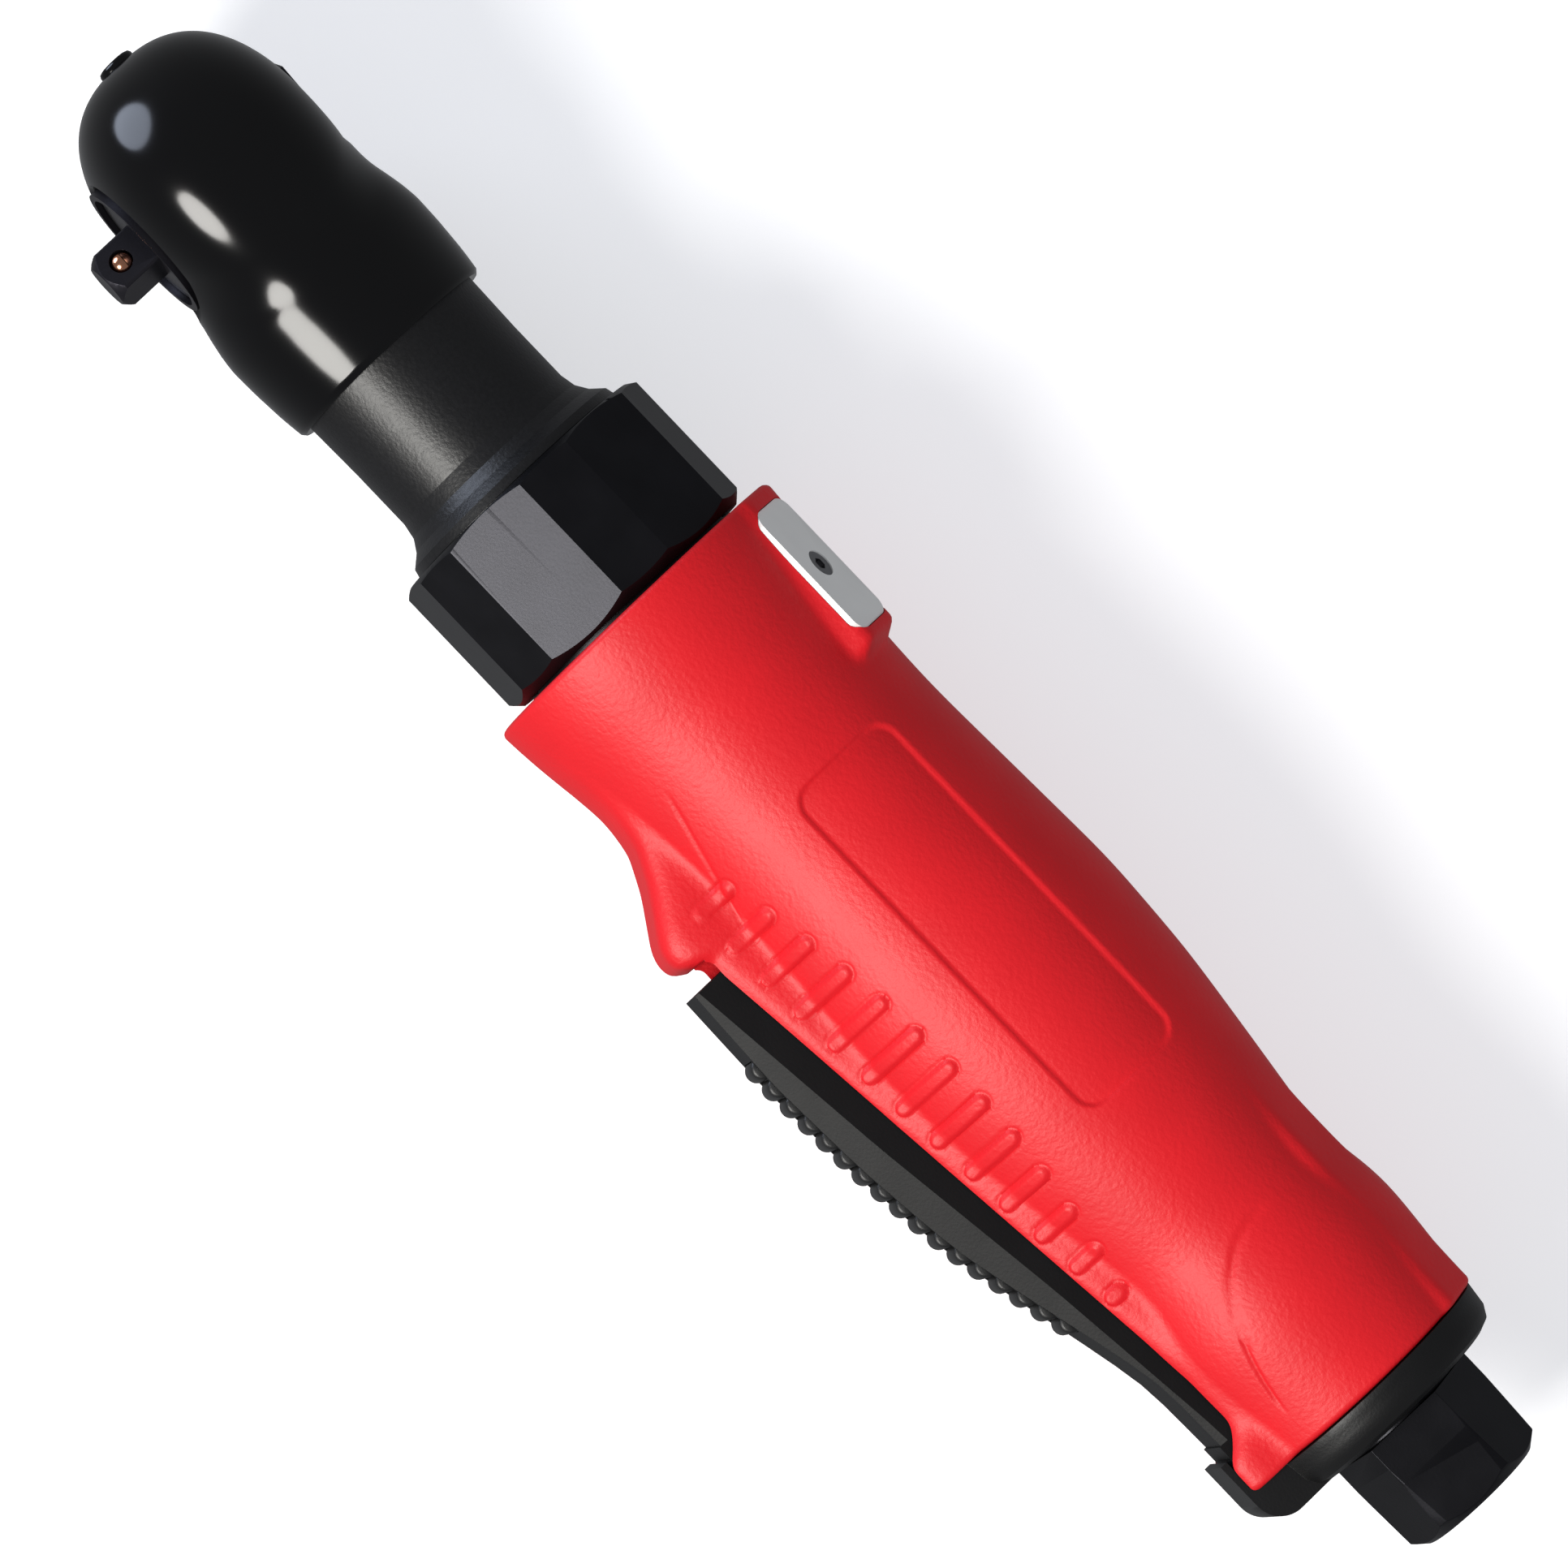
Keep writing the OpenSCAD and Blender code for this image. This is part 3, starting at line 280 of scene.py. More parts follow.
def loft(name: str, rings: Sequence[np.ndarray], look: Look, closed: bool = False) -> bpy.types.Object:
    """A solid through rings of equal point counts.

    Args:
        name: the piece's name.
        rings: points of each ring, in mm.
        look: its finish.
        closed: whether it closes on itself; otherwise both ends are capped.
    Returns:
        The object.
    """
    around = len(rings[0])
    faces: list[Sequence[int]] = list(ring_faces(len(rings), around, closed))
    if not closed:
        faces += [list(range(around))[::-1], [(len(rings) - 1) * around + j for j in range(around)]]
    return new_mesh(name, np.vstack(rings), faces, look)


def turned(name: str, profile: Sequence[tuple[float, float]], centre: Vec3, axis: Vec3, look: Look,
           around: int = 96) -> bpy.types.Object:
    """A solid turned about an axis.

    Args:
        name: the piece's name.
        profile: (distance along the axis, radius) points in mm.
        centre: a point on the axis, in mm.
        axis: the axis's direction.
        look: its finish.
        around: points in each ring.
    Returns:
        The object.
    """
    turn = np.array(Vector((0, 0, 1)).rotation_difference(Vector(axis)).to_matrix())
    angles = np.linspace(0, 2 * math.pi, around, endpoint=False)
    rings = [np.array([(r * math.cos(a), r * math.sin(a), h) for a in angles]) @ turn.T + np.array(centre)
             for h, r in profile]
    return loft(name, rings, look)


def block(name: str, low: Vec3, high: Vec3, look: Look) -> bpy.types.Object:
    """A plain block.

    Args:
        name: the piece's name.
        low: its lowest corner, in mm.
        high: its highest corner, in mm.
        look: its finish.
    Returns:
        The object.
    """
    (x0, y0, z0), (x1, y1, z1) = low, high
    rings = [np.array([(x, y0, z0), (x, y1, z0), (x, y1, z1), (x, y0, z1)]) for x in (x0, x1)]
    return loft(name, rings, look)


def apply_modifiers(piece: bpy.types.Object) -> None:
    """Replaces the piece's mesh by its evaluated one and removes the modifiers.

    Args:
        piece: the object to make plain.
    """
    evaluated = piece.evaluated_get(bpy.context.evaluated_depsgraph_get())
    mesh = bpy.data.meshes.new_from_object(evaluated)
    piece.modifiers.clear()
    piece.data = mesh


def combine(piece: bpy.types.Object, tools: Sequence[bpy.types.Object], operation: str) -> None:
    """Cuts tools out of a piece or joins them to it, and deletes them.

    Args:
        piece: the object that changes.
        tools: closed solids, taken one after another.
        operation: DIFFERENCE or UNION.
    """
    for tool in tools:
        change = piece.modifiers.new(tool.name, "BOOLEAN")
        change.object, change.operation, change.solver = tool, operation, "MANIFOLD"
        apply_modifiers(piece)
        bpy.data.objects.remove(tool)


def sharpen(piece: bpy.types.Object, degrees: float = 35.0) -> None:
    """Marks steep edges sharp, so that smooth shading stops at them.

    Args:
        piece: the object.
        degrees: the angle past which an edge is sharp.
    """
    mesh = piece.data
    mesh.polygons.foreach_set("use_smooth", [True] * len(mesh.polygons))
    mesh.set_sharp_from_angle(angle=math.radians(degrees))


def round_edges(piece: bpy.types.Object, width_mm: float, angle: float = 30.0) -> None:
    """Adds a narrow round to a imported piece's sharp edges, kept as modifiers.

    Args:
        piece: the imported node's object.
        width_mm: width of the round.
        angle: the angle past which an edge is rounded, in degrees.
    """
    weld = piece.modifiers.new("weld", "WELD")
    weld.merge_threshold = 0.001 * MM
    bevel = piece.modifiers.new("round", "BEVEL")
    bevel.width, bevel.segments, bevel.limit_method = width_mm * MM, 3, "ANGLE"
    bevel.angle_limit, bevel.harden_normals = math.radians(angle), True
    bevel.use_clamp_overlap = True


# ---- shape rules ------------------------------------------------------------------------------

def smooth_line(stations: Sequence[tuple[float, float]], x: np.ndarray, blur: float) -> np.ndarray:
    """Straight lines through the stations, with their corners rounded over about blur.

    Args:
        stations: (place, value) pairs.
        x: places to evaluate.
        blur: standard deviation of the rounding, in the same unit as x.
    Returns:
        The values at x.
    """
    places, values = np.array(stations, float).T
    offsets = np.linspace(-2.5, 2.5, 21)
    weights = np.exp(-offsets ** 2 / 2)
    lines = np.interp(x[:, None] + offsets[None, :] * blur, places, values)
    return lines @ (weights / weights.sum())


def soft_max(a: np.ndarray, b: np.ndarray, k: float) -> np.ndarray:
    """The larger of two values, with a rounded crossing.

    Args:
        a: first values.
        b: second values.
        k: width of the crossing, in the same unit.
    Returns:
        The joined values.
    """
    h = np.maximum(k - np.abs(a - b), 0) / k
    return np.maximum(a, b) + h * h * k / 4


def lobe(angle: np.ndarray, half_w: float, depth: np.ndarray, power: float = 8.0) -> np.ndarray:
    """Radius of a rounded box that points one way from the axis.

    Args:
        angle: angles from the box's middle, in radians.
        half_w: half its width.
        depth: how far it reaches.
        power: how square its corners are.
    Returns:
        The radius at each angle, and 0 behind the axis.
    """
    sideways = 0.02
    c, s = np.cos(angle), np.abs(np.sin(angle))
    safe = np.maximum(c, sideways)
    reach = ((s / half_w) ** power + (safe / np.maximum(depth, 0.1)) ** power) ** (-1 / power)
    return np.where(c <= sideways, 0.0, reach)


def step(value: np.ndarray, width: float) -> np.ndarray:
    """0 below -width/2, 1 above width/2, eased between."""
    t = np.clip(value / width + 0.5, 0, 1)
    return t * t * (3 - 2 * t)


def bump_at(distance: np.ndarray, width: float) -> np.ndarray:
    """A rounded ridge of that width, 1 at its middle."""
    return np.where(np.abs(distance) < width / 2, np.cos(math.pi * distance / width) ** 2, 0.0)


def samples(spans: Spans) -> np.ndarray:
    """Values through spans of (from, to, spacing)."""
    return np.concatenate([np.arange(a, b - TINY, s) for a, b, s in spans])


def quarter_round(end: np.ndarray, radius: float) -> np.ndarray:
    """How far a rounded end falls back, at distances from the end; 0 past the radius."""
    t = np.clip(1 - end / radius, 0, 1)
    return radius * (1 - np.sqrt(1 - t * t))


# ---- pieces -----------------------------------------------------------------------------------

@dataclass(frozen=True)
class Grip:
    """The moulded grip with its keel, lever slot, finger hook, ribs, label panel and plate seat.

    Places along the tool are x. "Down" is the distance across the tool towards the drive's side, at the angle from
    which the tool is mostly seen.
    """

    # ends and bores
    x0: float = 20.7
    length: float = 134.4
    end_round: float = 0.9
    rear_bore: float = 14.25
    front_bore: float = 17.25
    bore_step_x: float = 64.1
    # radius of the body at shares of its length, and reach of the keel at places along the tool
    body: Stations = ((0, 17.4), (0.07, 18.3), (0.13, 19), (0.2, 17.2), (0.31, 19.2), (0.41, 20.9), (0.52, 21.7),
                      (0.65, 21.1), (0.755, 20.6), (0.83, 20.9), (0.89, 21.5), (0.94, 22.6), (1, 23.3))
    keel: Stations = ((20.7, 22), (25.1, 22), (26.7, 20), (29.3, 17.9), (36.5, 17.9), (41, 18.5), (113.9, 25.5),
                      (116.6, 25.3), (117.5, 28.4), (119.9, 28.8), (121.9, 28.2), (124.9, 26.2), (128.4, 23.9),
                      (132.9, 21.7), (138.9, 20.2))
    keel_half_w: float = 9.3
    body_blur: float = 0.025
    keel_blur: float = 0.7
    keel_blend: float = 2.0
    # slot for the lever, with a flared lip
    slot_half_w: float = 7.6
    slot_floor: float = 12.0
    slot_x1: float = 116.9
    slot_lip: float = 0.7
    slot_over: float = 12.0
    # gap under the finger hook, for the lever's tip
    gap_y: float = 25.3
    gap_len: float = 4.0
    # boss under the side plate, and the plate's seat in it
    boss_turn: float = 146.5
    boss_half_w: float = 5.85
    boss: Stations = ((127.5, 18), (130, 20.6), (131.5, 23.6), (155.1, 23.6))
    boss_blur: float = 0.4
    boss_blend: float = 0.8
    plate_mid_x: float = 142.8
    plate_len: float = 19.8
    plate_w: float = 9.9
    plate_gap: float = 0.1
    plate_corner: float = 2.1
    plate_floor: float = 21.9
    screw_r: float = 1.5
    # blind holes for the lever's pin
    pin_x: float = 24.5
    pin_y: float = 18.2
    pin_r: float = 1.5
    pin_reach: float = 8.2
    # row of raised ribs, each with a fine groove round it
    rib_first_x: float = 121.3
    rib_pitch: float = 5.87
    rib_count: int = 13
    rib_half_w: float = 1.1
    rib_rise: float = 0.4
    rib_edge: float = 0.7
    groove_depth: float = 0.16
    groove_at: float = 0.22
    groove_w: float = 0.6
    # sunk label panel: its ends along the tool and across it
    panel: tuple[float, float, float, float] = (69.7, 123.9, -13.0, 2.4)
    panel_corner: float = 3.0
    panel_depth: float = 0.45
    panel_edge: float = 0.5
    # crease round the palm, part of an ellipse that curves down towards the rear
    palm_x: float = 23.5
    palm_down: float = -4.0
    palm_rx: float = 23.0
    palm_ry: float = 14.5
    palm_scale: float = 16.0
    palm_w: float = 1.1
    palm_depth: float = 0.3
    palm_from_x: float = 27.0
    palm_from_down: float = -5.0
    # crease from the finger hook up towards the side plate
    hook_x0: float = 117.0
    hook_x1: float = 134.0
    hook_down: float = 17.5
    hook_slope: float = 0.25
    hook_w: float = 1.0
    hook_depth: float = 0.22

    @property
    def x1(self) -> float:
        """Front end of the grip."""
        return self.x0 + self.length

    def places(self) -> np.ndarray:
        """Places along the tool, closest together where the ribs and the panel are.

        Returns:
            The places as a column.
        """
        inner = samples(((self.x0 + 0.05, self.x0 + self.end_round, 0.2), (self.x0 + self.end_round, 48, 0.5),
                         (48, 124.5, 0.26), (124.5, self.x1 - self.end_round, 0.4),
                         (self.x1 - self.end_round, self.x1 - 0.04, 0.2)))
        return np.concatenate([[self.x0], inner, [self.x1]])[:, None]

    def angles(self) -> np.ndarray:
        """Angles about the tool's axis from the drive's side, closest together over the ribs and the panel.

        Returns:
            The angles in radians, as a row.
        """
        return np.radians(samples(((-180, -56, 3.1), (-56, -20, 0.75), (-20, 19, 1.95), (19, 56, 0.62),
                                   (56, 72, 2.5), (72, 80, 0.8), (80, 116, 2.4), (116, 124, 0.8),
                                   (124, 180, 1.9))))[None, :]

    def plain_radius(self, x: np.ndarray, a: np.ndarray) -> np.ndarray:
        """Radius of body, keel and boss, before the relief.

        Args:
            x: places along the tool, as a column.
            a: angles about its axis, as a row.
        Returns:
            The radius in mm.
        """
        share = (x - self.x0) / self.length
        body = smooth_line(self.body, share[:, 0], self.body_blur)[:, None]
        keel = lobe(a, self.keel_half_w, smooth_line(self.keel, x[:, 0], self.keel_blur)[:, None])
        boss = lobe(a - math.radians(self.boss_turn), self.boss_half_w,
                    smooth_line(self.boss, x[:, 0], self.boss_blur)[:, None])
        return soft_max(soft_max(body, keel, self.keel_blend), boss, self.boss_blend)

    def rib_span(self, i: int) -> tuple[float, float]:
        """Ends of a rib across the tool: the middle ribs are the longest, and the row narrows at both ends.

        Args:
            i: the rib's number, 0 at the front.
        Returns:
            Its upper and lower end.
        """
        t = i / (self.rib_count - 1)
        upper = 15.1 - 17.6 * t * (1 - t) - 1.0 * t
        lower = 21.2 - 4.0 * t + 2.4 * t * (1 - t)
        return upper, lower

    def rib_relief(self, x: np.ndarray, down: np.ndarray) -> np.ndarray:
        """Height that the ribs and their grooves add.

        Args:
            x: places along the tool.
            down: places across the tool.
        Returns:
            The height in mm.
        """
        height = np.zeros_like(x + down)
        for i in range(self.rib_count):
            rib_x = self.rib_first_x - i * self.rib_pitch
            upper, lower = self.rib_span(i)
            along = np.clip(down, upper + self.rib_half_w, lower - self.rib_half_w)
            d = np.hypot(x - rib_x, down - along) - self.rib_half_w
            height += self.rib_rise * step(-d - 0.2, self.rib_edge)
            height -= self.groove_depth * bump_at(d - self.groove_at, self.groove_w)
        return height

    def panel_relief(self, x: np.ndarray, down: np.ndarray) -> np.ndarray:
        """Depth of the sunk label panel.

        Args:
            x: places along the tool.
            down: places across the tool.
        Returns:
            The depth in mm.
        """
        x0, x1, y0, y1 = self.panel
        r = self.panel_corner
        dx = np.abs(x - (x0 + x1) / 2) - (x1 - x0) / 2 + r
        dy = np.abs(down - (y0 + y1) / 2) - (y1 - y0) / 2 + r
        d = np.hypot(np.maximum(dx, 0), np.maximum(dy, 0)) + np.minimum(np.maximum(dx, dy), 0) - r
        return self.panel_depth * step(-d, self.panel_edge)

    def relief(self, x: np.ndarray, down: np.ndarray, panel_side: bool) -> np.ndarray:
        """Height that the ribs, label panel and creases add to the grip.

        Args:
            x: places along the tool.
            down: places across the tool.
            panel_side: True on the side with the label panel.
        Returns:
            The height in mm.
        """
        height = self.rib_relief(x, down)
        if panel_side:
            height -= self.panel_relief(x, down)
        reach = np.hypot((x - self.palm_x) / self.palm_rx, (down - self.palm_down) / self.palm_ry)
        palm = bump_at((reach - 1) * self.palm_scale, self.palm_w)
        height -= self.palm_depth * palm * step(x - self.palm_from_x, 4) * step(down - self.palm_from_down, 3)
        crease = down - (self.hook_down - (x - self.hook_x0) * self.hook_slope)
        hook = bump_at(crease, self.hook_w)
        height -= self.hook_depth * hook * step(x - self.hook_x0, 4) * step(self.hook_x1 - x, 5)
        return height

    def sleeve(self) -> bpy.types.Object:
        """The sleeve with its relief and stepped bore, before anything is cut.

        Returns:
            The object.
        """
        x, a = self.places(), self.angles()
        r = self.plain_radius(x, a)
        down = r * (np.cos(a) * math.cos(CAMERA_ROLL) - np.abs(np.sin(a)) * math.sin(CAMERA_ROLL))
        panel_side = np.broadcast_to(np.sin(a) > 0, down.shape)
        r = r + np.where(panel_side, self.relief(x, down, True), self.relief(x, down, False))
        for end in (x - self.x0, self.x1 - x):
            r = r - quarter_round(end, self.end_round)
        outer = np.stack([np.broadcast_to(x, r.shape), r * np.cos(a), r * np.sin(a)], axis=2)
        bores = [(self.x1, self.front_bore), (self.bore_step_x, self.front_bore),
                 (self.bore_step_x, self.rear_bore), (self.x0, self.rear_bore)]
        inner = [np.stack([np.full(a.size, bx), br * np.cos(a[0]), br * np.sin(a[0])], axis=1)
                 for bx, br in bores]
        return loft("grip", list(outer) + inner, Look.RED_ELASTOMER, closed=True)

    def slot(self) -> bpy.types.Object:
        """What is cut away for the lever, wider at the keel's face.

        Returns:
            The cutting solid.
        """
        lip = self.slot_lip
        stations = samples(((self.x0 - 1, self.slot_x1 - 0.4, 1.0),)).tolist() + [self.slot_x1]
        depth = smooth_line(self.keel, np.array(stations), self.keel_blur)
        rings = []
        for sx, sd in zip(stations, depth):
            flare = [(self.slot_half_w + lip * (1 - math.cos(t)), sd - lip + lip * math.sin(t))
                     for t in np.linspace(0, math.pi / 2, 6)]
            side = [(self.slot_half_w, self.slot_floor)] + flare + [(self.slot_half_w + lip, sd + self.slot_over)]
            rings.append(np.array([(sx, y, z) for z, y in side] + [(sx, y, -z) for z, y in side[::-1]]))
        return loft("slot", rings, Look.RED_ELASTOMER)

    def plate_seat(self) -> list[bpy.types.Object]:
        """What is cut away for the side plate and its screw.

        Returns:
            The cutting solids.
        """
        lean = math.radians(self.boss_turn)
        out = np.array((0.0, math.cos(lean), math.sin(lean)))
        across = np.array((0.0, -math.sin(lean), math.cos(lean)))
        corner = self.plate_corner
        outline = [(sx * (self.plate_len / 2 + self.plate_gap - corner) + corner * math.cos(t),
                    sy * (self.plate_w / 2 + self.plate_gap - corner) + corner * math.sin(t))
                   for sx, sy, t0 in ((1, 1, 0), (-1, 1, 90), (-1, -1, 180), (1, -1, 270))
                   for t in np.radians(np.linspace(t0, t0 + 90, 8))]
        seat = loft("seat", [np.array([(self.plate_mid_x + u, 0, 0) + across * v + out * h for u, v in outline])
                             for h in (self.plate_floor, self.plate_floor + 5)], Look.RED_ELASTOMER)
        screw = turned("screw_hole", [(10, self.screw_r), (24, self.screw_r)], (self.plate_mid_x, 0, 0),
                       tuple(out), Look.RED_ELASTOMER)
        return [seat, screw]

    def build(self) -> bpy.types.Object:
        """Makes the sleeve and cuts its slot, gap, seat and holes.

        Returns:
            The finished grip.
        """
        grip = self.sleeve()
        slot = self.slot()
        gap = block("gap", (self.slot_x1 - self.gap_len, self.gap_y, -15), (self.slot_x1, 40, 15),
                    Look.RED_ELASTOMER)
        seat, screw = self.plate_seat()
        pin = turned("pin_hole", [(-self.pin_reach, self.pin_r), (self.pin_reach, self.pin_r)],
                     (self.pin_x, self.pin_y, 0), (0, 0, 1), Look.RED_ELASTOMER, 48)
        combine(grip, [slot, gap, seat, screw, pin], "DIFFERENCE")
        sharpen(grip, 50)
        return grip

    def dress(self, grip: bpy.types.Object) -> None:
        """Ties the grip to the housing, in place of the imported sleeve."""
        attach(grip, "housing")
        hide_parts("grip_sleeve")


@dataclass(frozen=True)
class HeadCover:
    """The glossy head cover, open above the knob and round the drive, with its nose and rear lip."""

    drive_x: float = 230.3
    radius: float = 17.9
    half_h: float = 13.1
    power: float = 2.5
    wall: float = 1.6
    inner_gap: float = 0.05
    # radius of the neck's swelling at distances behind the drive's axis
    swell: Stations = ((30.8, 13.7), (29.6, 13.9), (27, 14.2), (22.5, 14.5), (18.5, 14.6), (16, 14.3), (13, 13.7),
                       (10, 12.9), (7, 12.2))
    swell_blend: float = 2.6
    side_run: float = 0.3
    rear_round: float = 0.4
    # openings for the drive and the knob, with a flared lip
    mouth_r: float = 10.5
    knob_r: float = 8.2
    lip: float = 0.6
    flare: float = 0.8
    # small nose at the front
    nose_r: float = 2.6
    rings: int = 150
    around: int = 220
    search_steps: int = 40

    @property
    def x0(self) -> float:
        """Rear end of the cover."""
        return self.drive_x - self.swell[0][0]

    @property
    def x1(self) -> float:
        """Front end of the bare head."""
        return self.drive_x + self.radius

    def radius_at(self, x: np.ndarray, a: np.ndarray, grow: float) -> np.ndarray:
        """Radius about the tool's axis of the head, the blend to the neck included.

        Args:
            x: places along the tool, as a column.
            a: angles about the tool's axis, as a row.
            grow: how far outside the bare head.
        Returns:
            The radius in mm.
        """
        far = self.radius + grow
        tall = self.half_h + grow
        off = x - self.drive_x
        # towards the neck the sides run on, so that they meet the neck's swelling without a waist
        reach = np.where(off < 0, 1 - self.side_run * np.sin(a) ** 2, 1.0)
        low, high = np.zeros((x.size, a.size)), np.full((x.size, a.size), far + 2.0)
        for _ in range(self.search_steps):
            mid = (low + high) / 2
            flat = np.hypot(off * reach, mid * np.sin(a)) / far
            inside = flat ** self.power + (np.abs(mid * np.cos(a)) / tall) ** self.power < 1
            low, high = np.where(inside, mid, low), np.where(inside, high, mid)
        places = [(self.drive_x - d, r + grow - 0.1) for d, r in self.swell] + [(self.drive_x - 4, 0.0)]
        swell = smooth_line(places, x[:, 0], 0.6)[:, None] + 0 * a
        return soft_max(low, swell, self.swell_blend)

    def shell(self) -> bpy.types.Object:
        """The closed skin of the cover, outside and inside.

        Returns:
            The object.
        """
        turns = np.sin(np.linspace(0, 1, self.rings) * math.pi / 2)
        a = np.linspace(0, 2 * math.pi, self.around, endpoint=False)[None, :]
        outer_x = self.x0 + (self.x1 + self.wall - self.x0) * turns
        inner_x = (self.x0 + (self.x1 + self.inner_gap - self.x0) * turns)[::-1]
        skins = []
        for places, grow in ((outer_x, self.wall), (inner_x, self.inner_gap)):
            r = self.radius_at(places[:, None], a, grow)
            if grow == self.wall:
                r = r - quarter_round(places - self.x0, self.rear_round)[:, None]
            skins.append(np.stack([np.broadcast_to(places[:, None], r.shape), r * np.cos(a), r * np.sin(a)],
                                  axis=2))
        return loft("cover", [ring for skin in skins for ring in skin], Look.GLOSS_VINYL, closed=True)

    def nose(self) -> bpy.types.Object:
        """The small nose at the front of the cover.

        Returns:
            The solid to join.
        """
        tip = self.x1 + self.wall
        profile = [(self.x1 - 4, self.nose_r), (tip + 0.3, self.nose_r), (tip + 0.65, self.nose_r - 0.2),
                   (tip + 0.8, self.nose_r - 0.6)]
        return turned("nub", profile, (0, 0, 0), (1, 0, 0), Look.GLOSS_VINYL, 64)

    def opening(self, name: str, radius: float, side: int) -> bpy.types.Object:
        """What is cut away for the drive or the knob.

        Args:
            name: the cutting solid's name.
            radius: the opening's radius.
            side: 1 for the drive's side, -1 for the knob's.
        Returns:
            The cutting solid.
        """
        reach = self.radius + self.wall
        level = (self.half_h + self.wall) * (1 - (radius / reach) ** self.power) ** (1 / self.power)
        lip = self.lip
        profile = [(0, radius), (level - lip, radius)]
        profile += [(level - lip * math.cos(t), radius + lip * (1 - math.cos(t)) * self.flare)
                    for t in np.linspace(0.3, math.pi / 2, 5)]
        profile += [(level + 6, radius + lip * self.flare + 2.2)]
        return turned(name, profile, (self.drive_x, 0, 0), (0, side, 0), Look.GLOSS_VINYL, 160)

    def build(self) -> bpy.types.Object:
        """Makes the skin, joins the nose and cuts the two openings.

        Returns:
            The finished cover.
        """
        cover = self.shell()
        combine(cover, [self.nose()], "UNION")
        openings = [self.opening("mouth", self.mouth_r, 1), self.opening("knob_hole", self.knob_r, -1)]
        combine(cover, openings, "DIFFERENCE")
        sharpen(cover, 40)
        return cover

    def dress(self, cover: bpy.types.Object) -> None:
        """Ties the cover to the housing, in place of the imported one."""
        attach(cover, "housing")
        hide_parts("head_boot")


@dataclass(frozen=True)
class Repeat:
    """Copies of one piece on given points, made by a node tree with named inputs."""

    name: str
    points: tuple[Vec3, ...]
    look: Look
    uneven_turn: float = 0.0
    seed: int = 7

    @staticmethod
    def tree() -> bpy.types.NodeTree:
        """A tree that sets one copy of a piece on each point, with a little uneven turn about Z.

        Returns:
            The node tree.
        """
        tree = bpy.data.node_groups.new("repeat_on_points", "GeometryNodeTree")
        side = tree.interface
        for label, kind in (("Geometry", "Geometry"), ("Piece", "Object"), ("Uneven Turn", "Float"),
                            ("Seed", "Int"), ("Material", "Material")):
            side.new_socket(label, in_out="INPUT", socket_type="NodeSocket" + kind)
        side.new_socket("Geometry", in_out="OUTPUT", socket_type="NodeSocketGeometry")
        add, link = tree.nodes.new, tree.links.new
        given, out = add("NodeGroupInput"), add("NodeGroupOutput")
        info, place = add("GeometryNodeObjectInfo"), add("GeometryNodeInstanceOnPoints")
        chance, spin = add("FunctionNodeRandomValue"), add("ShaderNodeCombineXYZ")
        less = add("ShaderNodeMath")
        less.operation = "MULTIPLY"
        less.inputs[1].default_value = -1.0
        real, paint = add("GeometryNodeRealizeInstances"), add("GeometryNodeSetMaterial")
        link(given.outputs["Piece"], info.inputs["Object"])
        link(given.outputs["Uneven Turn"], less.inputs[0])
        link(less.outputs[0], chance.inputs[2])
        link(given.outputs["Uneven Turn"], chance.inputs[3])
        link(given.outputs["Seed"], chance.inputs["Seed"])
        link(chance.outputs[1], spin.inputs["Z"])
        link(given.outputs["Geometry"], place.inputs["Points"])
        link(info.outputs["Geometry"], place.inputs["Instance"])
        link(spin.outputs["Vector"], place.inputs["Rotation"])
        link(place.outputs["Instances"], real.inputs["Geometry"])
        link(real.outputs["Geometry"], paint.inputs["Geometry"])
        link(given.outputs["Material"], paint.inputs["Material"])
        link(paint.outputs["Geometry"], out.inputs["Geometry"])
        return tree

    def build(self, piece: bpy.types.Object) -> bpy.types.Object:
        """Sets the copies as one plain mesh, and deletes the piece itself.

        Args:
            piece: what is copied, modelled about the origin.
        Returns:
            The object that holds all copies.
        """
        holder = new_mesh(self.name, np.array(self.points), [], self.look)
        nodes = holder.modifiers.new("repeat", "NODES")
        nodes.node_group = self.tree()
        values = {"Piece": piece, "Uneven Turn": self.uneven_turn, "Seed": self.seed,
                  "Material": material(self.look)}
        for item in nodes.node_group.interface.items_tree:
            if item.in_out == "INPUT" and item.name in values:
                nodes[item.identifier] = values[item.name]
        apply_modifiers(holder)
        bpy.data.objects.remove(piece)
        return holder


